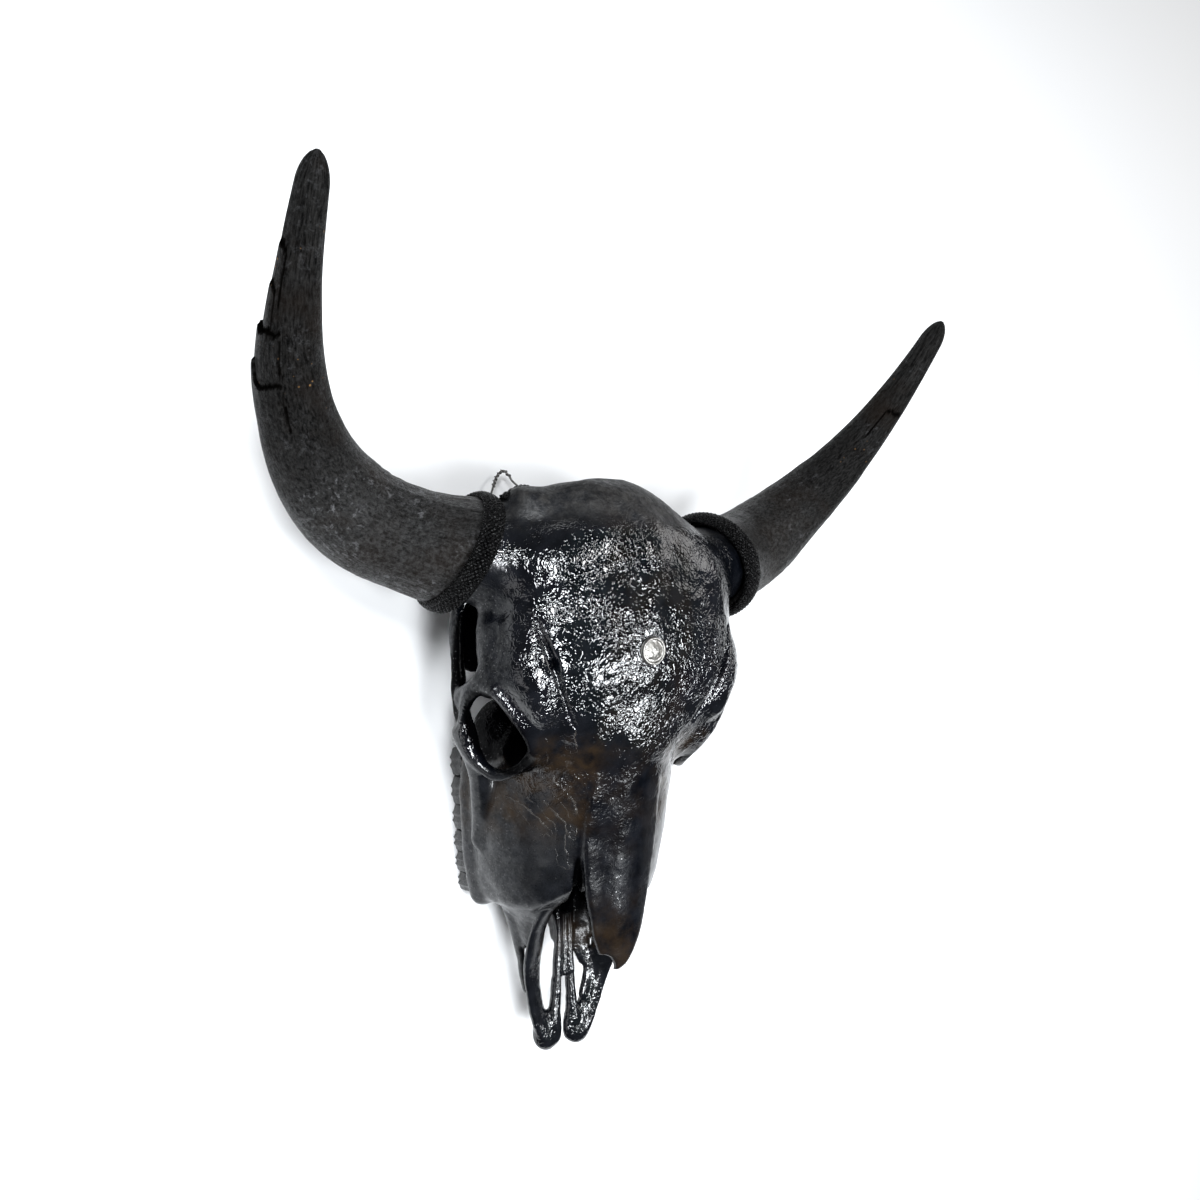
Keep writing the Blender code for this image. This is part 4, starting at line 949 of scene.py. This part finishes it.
def hornLayer(t, a, edge, thick):
    table = np.array(edge)
    a = np.where(a < table[0, 0], a + 2 * np.pi, a)
    end = np.interp(a, table[:, 0], table[:, 1])
    places = np.column_stack([a.ravel() * 30, 0 * a.ravel(), 0 * a.ravel()])
    end = end + 0.0025 * hashNoise(places, 1.0, 3).reshape(t.shape)
    across = band(a, table[0, 0], table[0, 0] + 0.06) * fall(a, table[-1, 0] - 0.3, table[-1, 0])
    height = thick * across * fall(t, end - 0.0015, end + 0.0015) * band(t, end - 0.22, end - 0.03)
    # painted shade, with dirt: a dark band just beyond each layer's edge and along its side edge
    shadow = across * band(t, end - 0.004, end) * fall(t, end + 0.003, end + 0.008)
    side = fall(np.abs(a - table[0, 0] - 0.02), 0.02, 0.05)
    side = side * band(t, end - 0.08, end - 0.06) * fall(t, end, end + 0.004)
    return height, np.maximum(shadow, side)


for side, word, seed, flecks in ((1, "left", 41, 0.3), (-1, "right", 5, 1.0)):
    makeHorn(f"horn_sheath_{word}", side, f"horn_{word}", seed, flecks)
report("horns")


# ---- braided cords
cordSettings = {
    "halfLength": 50.3,
    "halfHeight": 61.0,
    "width": 18.5,
    "thickness": 10.0,
    "slide": 4.0,
    "pairs": 12,
    "turns": 6,
    "perCrossing": 4,
    "strandSides": 5,
    "strandWide": 2.0,
    "strandThin": 1.25,
    "weave": 0.95,
    "tail": [(-109, 503, 170), (-101, 508, 170), (-91, 513, 165), (-80, 516, 155)],
    "tailHalf": (7.5, 3.6),
}


def cordRing(theta):
    along = unit(np.cross(cordAxis, [0, 0, 1.0]))
    upward = np.cross(along, cordAxis)
    c, s = np.cos(theta)[:, None], np.sin(theta)[:, None]
    a, b = cordSettings["halfLength"], cordSettings["halfHeight"]
    centre = cordCentre + a * c * along + b * s * upward
    # the lower half slides out towards the sheath's rim
    centre = centre + (band(cordCentre[2] - centre[:, 2], -30, 60) * cordSettings["slide"])[:, None] * cordAxis
    return centre, unit(b * c * along + a * s * upward)


def strandTube(path, wide, thin, radii, sides):
    # path points with two cross axes each
    angle = circle(sides)
    c, s = np.cos(angle)[None, :, None], np.sin(angle)[None, :, None]
    return path[:, None] + radii[0] * c * wide[:, None] + radii[1] * s * thin[:, None]


def joinTubes(tubes, closed=False):
    points, faces, start = [], [], 0
    for tube in tubes:
        rows, sides = tube.shape[:2]
        points.append(tube.reshape(-1, 3))
        faces.append(gridFaces(rows, sides, closedRows=closed) + start)
        start += rows * sides
    return np.concatenate(points), np.concatenate(faces)


def braid(centre, wide, out, half, pairs, turns, closed):
    # strands wind both ways round a flat core and pass over and under each other
    s = cordSettings
    count = len(centre)
    theta = 2 * np.pi * np.arange(count) / (count if closed else count - 1)
    tubes = []
    w, h = half[0] - s["strandThin"], half[1] - s["strandThin"]
    for way in (1, -1):
        for k in range(pairs):
            phi = way * turns * theta + 2 * np.pi * k / pairs
            lift = way * s["weave"] * np.cos(pairs * turns * theta)
            flatOut = unit(np.column_stack([np.cos(phi) / w, np.sin(phi) / h]))
            normal = flatOut[:, :1] * wide + flatOut[:, 1:] * out
            path = centre + (w * np.cos(phi))[:, None] * wide + (h * np.sin(phi))[:, None] * out
            path = path + lift[:, None] * normal
            ahead = np.roll(path, -1, 0) - np.roll(path, 1, 0) if closed else np.gradient(path, axis=0)
            across = unit(np.cross(unit(ahead), normal))
            tubes.append(strandTube(path, across, normal, (s["strandWide"], s["strandThin"]), s["strandSides"]))
    return joinTubes(tubes, closed)


def makeCord(name, side, node):
    s = cordSettings
    count = 2 * s["pairs"] * s["turns"] * s["perCrossing"]
    centre, out = cordRing(circle(count))
    wide = np.broadcast_to(cordAxis, centre.shape)
    points, faces = braid(centre, wide, out, (s["width"] / 2, s["thickness"] / 2), s["pairs"], s["turns"], True)
    if side < 0:
        points, faces = points * [-1, 1, 1], faces[:, ::-1]
    makePiece(name, points, faces, cordMaterial, "cord", node, close=False)


def makeTail():
    # loose end of the right cord, running behind the crest
    s = cordSettings
    centre = smoothPath(s["tail"], 24)
    ahead = unit(np.gradient(centre, axis=0))
    wide = unit([0, 0.3, 1.0] - (ahead @ [0, 0.3, 1.0])[:, None] * ahead)
    points, faces = braid(centre, wide, np.cross(ahead, wide), s["tailHalf"], 5, 1, False)
    makePiece("cord_tail_braid", points, faces, cordMaterial, "cord", "cord_tail")


cordMaterial = plainPaint("cord", 260, (0.0004, 0.0004, 0.0005), (0.0026, 0.0025, 0.0026),
                          (1100, 0.7, 0.0006, 0.8), 0.32, (0.03, 0.34))
for side, word in ((1, "left"), (-1, "right")):
    makeCord(f"cord_braid_{word}", side, f"cord_{word}")
makeTail()
report("cords")


# ---- cheek teeth
teeth = [(157, 17, 15), (176, 19, 18), (196, 20, 20), (219, 24, 22), (245, 27, 23), (273, 27, 22)]
toothOuterX = [80.5, 83, 84.5, 85.5, 86.5, 87]
toothSettings = {"sides": 64, "rows": 14, "rootTop": 31.0, "ribs": 2.4, "ribPlaces": (-0.84, -0.28, 0.28, 0.84),
                 "inward": 2.5, "stretch": 1.07, "rim": 6}


def makeTooth(index, side):
    s = toothSettings
    y, length, width = teeth[index]
    angle = circle(s["sides"])
    c, a = np.cos(angle), np.sin(angle)
    squareness = (c**4 + a**4) ** -0.25
    # four ribs down the outer wall and two rounded lobes towards the tongue
    ribs = s["ribs"] * sum(np.exp(-((a - place) / 0.13) ** 2) for place in s["ribPlaces"]) * (c > -0.1)
    lobes = 1.1 * (np.cos(2 * np.pi * a * 0.95) * -0.5 - 0.2) * (c < -0.1)
    rings = []
    for i in range(s["rim"]):
        share = (i + 0.4) / s["rim"]
        z = 1.4 * np.sin(np.pi * share) ** 2 + 0.9 * np.cos(3 * angle) * np.sin(np.pi * share) ** 2
        rings.append((share, np.clip(z, 0.15, 3)))
    rows = [(1.0, np.full(s["sides"], z)) for z in np.linspace(0.3, s["rootTop"], s["rows"])]
    points = []
    for share, z in rings + rows:
        swell = 0.96 + 0.04 * np.sin(np.clip(z / 20, 0, 1) * np.pi) - 0.08 * np.clip((z - 14) / 17, 0, 1)
        lean = 1.5 - np.clip(z / s["rootTop"], 0, 1) * 3.5
        rx = (width / 2 * swell * squareness * 0.93 + ribs * 0.8 + lobes) * share
        ry = length / 2 * swell * squareness * s["stretch"] * share
        x = toothOuterX[index] - s["inward"] - width / 2 - lean + rx * c
        points.append(np.column_stack([side * x, y + ry * a, z]))
    faces = gridFaces(len(points), s["sides"])
    node = f"tooth_{'left' if side > 0 else 'right'}_{index + 1}"
    makePiece("cheek_" + node, np.concatenate(points), faces, toothMaterial, "tooth_paint", node)


toothMaterial = plainPaint("toothPaint", 180, (0.0008, 0.0008, 0.0010), (0.0045, 0.0042, 0.0038),
                           (420, 0.5, 0.0008, 0.5), 0.3, 0.2)
for side in (1, -1):
    for index in range(len(teeth)):
        makeTooth(index, side)
report("teeth")


# ---- stud on the forehead
studSettings = {"y": 369.0, "radius": 12.0, "rim": 1.6, "height": 3.0, "sides": 96, "slope": -0.16}


def makeStud():
    s = studSettings
    low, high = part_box("forehead_stud")
    r, h, rim = s["radius"], s["height"], s["rim"]
    profile = [(0.02, 0), (r - 0.6, 0), (r, 0.6), (r, h - 0.9), (r - 0.25, h - 0.3), (r - 0.8, h),
            (r - rim, h - 0.1), (r - rim - 0.7, h - 1.0), (r - rim - 1.4, h - 1.15), (r - 4.2, h - 0.9),
            (r - 6, h - 0.35), (r - 8, h + 0.2), (0.02, h + 0.45)]
    line = smoothPath(profile, 5)
    angle = circle(s["sides"])
    points = np.stack([line[:, :1] * np.cos(angle), line[:, :1] * np.sin(angle),
            np.repeat(line[:, 1:], s["sides"], 1)], -1)
    # soft hand-beaten facets inside the rim
    inside = line[:, :1] < r - rim - 1
    dents = hashNoise(points.reshape(-1, 3) + 40, 0.42, 4).reshape(points.shape[:2])
    points[..., 2] += np.where(inside & (line[:, 1:] > 1), 0.38 * dents, 0)
    axis = Vector((0, s["slope"], 1)).normalized()
    turn = np.array(axis.to_track_quat("Z", "Y").to_matrix())
    middle = (np.array(low) + np.array(high)) / 2 * 1000 + [0, noseToOrigin, 0]
    points = points.reshape(-1, 3) @ turn.T + middle - turn @ [0, 0, (h + 0.4) / 2]
    silver = metalLook("studSilver", (0.34, 0.33, 0.31), 0.3)
    makePiece("forehead_stud_cap", points, gridFaces(len(line), s["sides"]), silver, "stud", "forehead_stud",
            close=False)


makeStud()


# ---- hanging wire, doubled and twisted at its top
wireLegs = [(-47, 538, 30), (-37, 556.5, 22), (-31.5, 564.5, 20), (-25, 568.5, 19), (-19, 563.5, 20),
        (-7, 551, 22)]
wireHook = {"centre": (68, 486, 34.0), "radii": (19, 15), "points": 7, "start": 95, "turn": 42, "rise": 1.6}
wireSettings = {"radius": 1.1, "sides": 10, "twistRadius": 1.4, "twistPitch": 5.5, "coilRadius": 0.8}


def tubeAlong(path, radius, sides):
    ahead = unit(np.gradient(path, axis=0))
    wide = unit(np.cross(ahead, [0.05, 0.1, 1]))
    return strandTube(path, wide, np.cross(wide, ahead), (radius, radius), sides)


def makeWire():
    s = wireSettings
    (x, y, z), (rx, ry) = wireHook["centre"], wireHook["radii"]
    hook = []
    for k in range(wireHook["points"]):
        angle = math.radians(wireHook["start"] + wireHook["turn"] * k)
        hook.append((x + rx * math.cos(angle), y + ry * math.sin(angle), z + wireHook["rise"] * k))
    path = smoothPath([(-x, y, z) for x, y, z in reversed(hook)] + wireLegs + hook, 12)
    tubes = [tubeAlong(path, s["radius"], s["sides"])]
    first, last = (len(hook) + 1) * 12 - 6, (len(hook) + 4) * 12 + 6
    peak = smoothPath([tuple(p) for p in path[first:last:3]], 8)
    travel = np.concatenate([[0], np.cumsum(np.linalg.norm(np.diff(peak, axis=0), axis=1))])
    ahead = unit(np.gradient(peak, axis=0))
    wide = unit(np.cross(ahead, [0, 0, 1.0]))
    thin = np.cross(wide, ahead)
    turn = 2 * np.pi * travel / s["twistPitch"]
    coil = peak + s["twistRadius"] * (np.cos(turn)[:, None] * wide + np.sin(turn)[:, None] * thin)
    tubes.append(tubeAlong(coil, s["coilRadius"], s["sides"]))
    steel = metalLook("wireSteel", (0.16, 0.155, 0.15), 0.35)
    makePiece("hanging_wire_loop", *joinTubes(tubes), steel, "wire", "hanging_wire")


makeWire()
report("stud and wire")


# ---- pale floor and soft studio light
def makeFloor():
    bpy.ops.mesh.primitive_grid_add(x_subdivisions=8, y_subdivisions=8, size=12, location=(0, 0, -0.0005))
    floor = bpy.context.object
    floor.name = "floor"
    look = Look("floorPale")
    shade = look.mix(look.noise(1.5, 2), (0.91, 0.91, 0.91), (0.93, 0.93, 0.93))
    floor.data.materials.append(look.finish(Base_Color=shade, Roughness=0.7, Specular_IOR_Level=0.2))


def addLamp(name, place, target, size, watts, colour=(1, 1, 1)):
    lamp = bpy.data.lights.new(name, "AREA")
    lamp.shape = "RECTANGLE"
    lamp.size, lamp.size_y = size
    lamp.energy = watts
    lamp.color = colour
    obj = bpy.data.objects.new(name, lamp)
    obj.location = place
    obj.rotation_euler = (Vector(target) - Vector(place)).to_track_quat("-Z", "Y").to_euler()
    scene.collection.objects.link(obj)


makeFloor()
# place, target, size, watts, colour
lamps = {
    "key": ((0.78, -0.58, 1.6), (0.0, 0.0, 0.1), (0.6, 0.34), 23, (0.93, 0.965, 1)),
    "crown": ((-0.8, 0.42, 1.6), (0, 0, 0.1), (0.4, 0.4), 18, (0.93, 0.965, 1)),
    "ridge": ((0.2, 0.48, 1.65), (0, 0, 0.1), (0.14, 0.36), 5, (1, 1, 1)),
    "brow": ((-0.35, -0.48, 1.6), (0, 0, 0.1), (0.27, 0.6), 30, (0.93, 0.965, 1)),
    "left": ((-2.0, -0.8, 0.9), (0, 0, 0.1), (1.2, 1.0), 5.5, (0.97, 0.98, 1.0)),
    "right": ((2.3, 1.1, 1.4), (0.6, 0.2, 0), (1.6, 1.1), 17, (1.0, 0.99, 0.98)),
}
for name, settings in lamps.items():
    addLamp(name, *settings)
world = bpy.data.worlds.new("World")
scene.world = world
world.use_nodes = True
world.node_tree.nodes["Background"].inputs["Color"].default_value = (0.95, 0.97, 1.0, 1)
world.node_tree.nodes["Background"].inputs["Strength"].default_value = 0.09
scene.view_settings.view_transform = "Standard"

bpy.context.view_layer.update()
report("done")
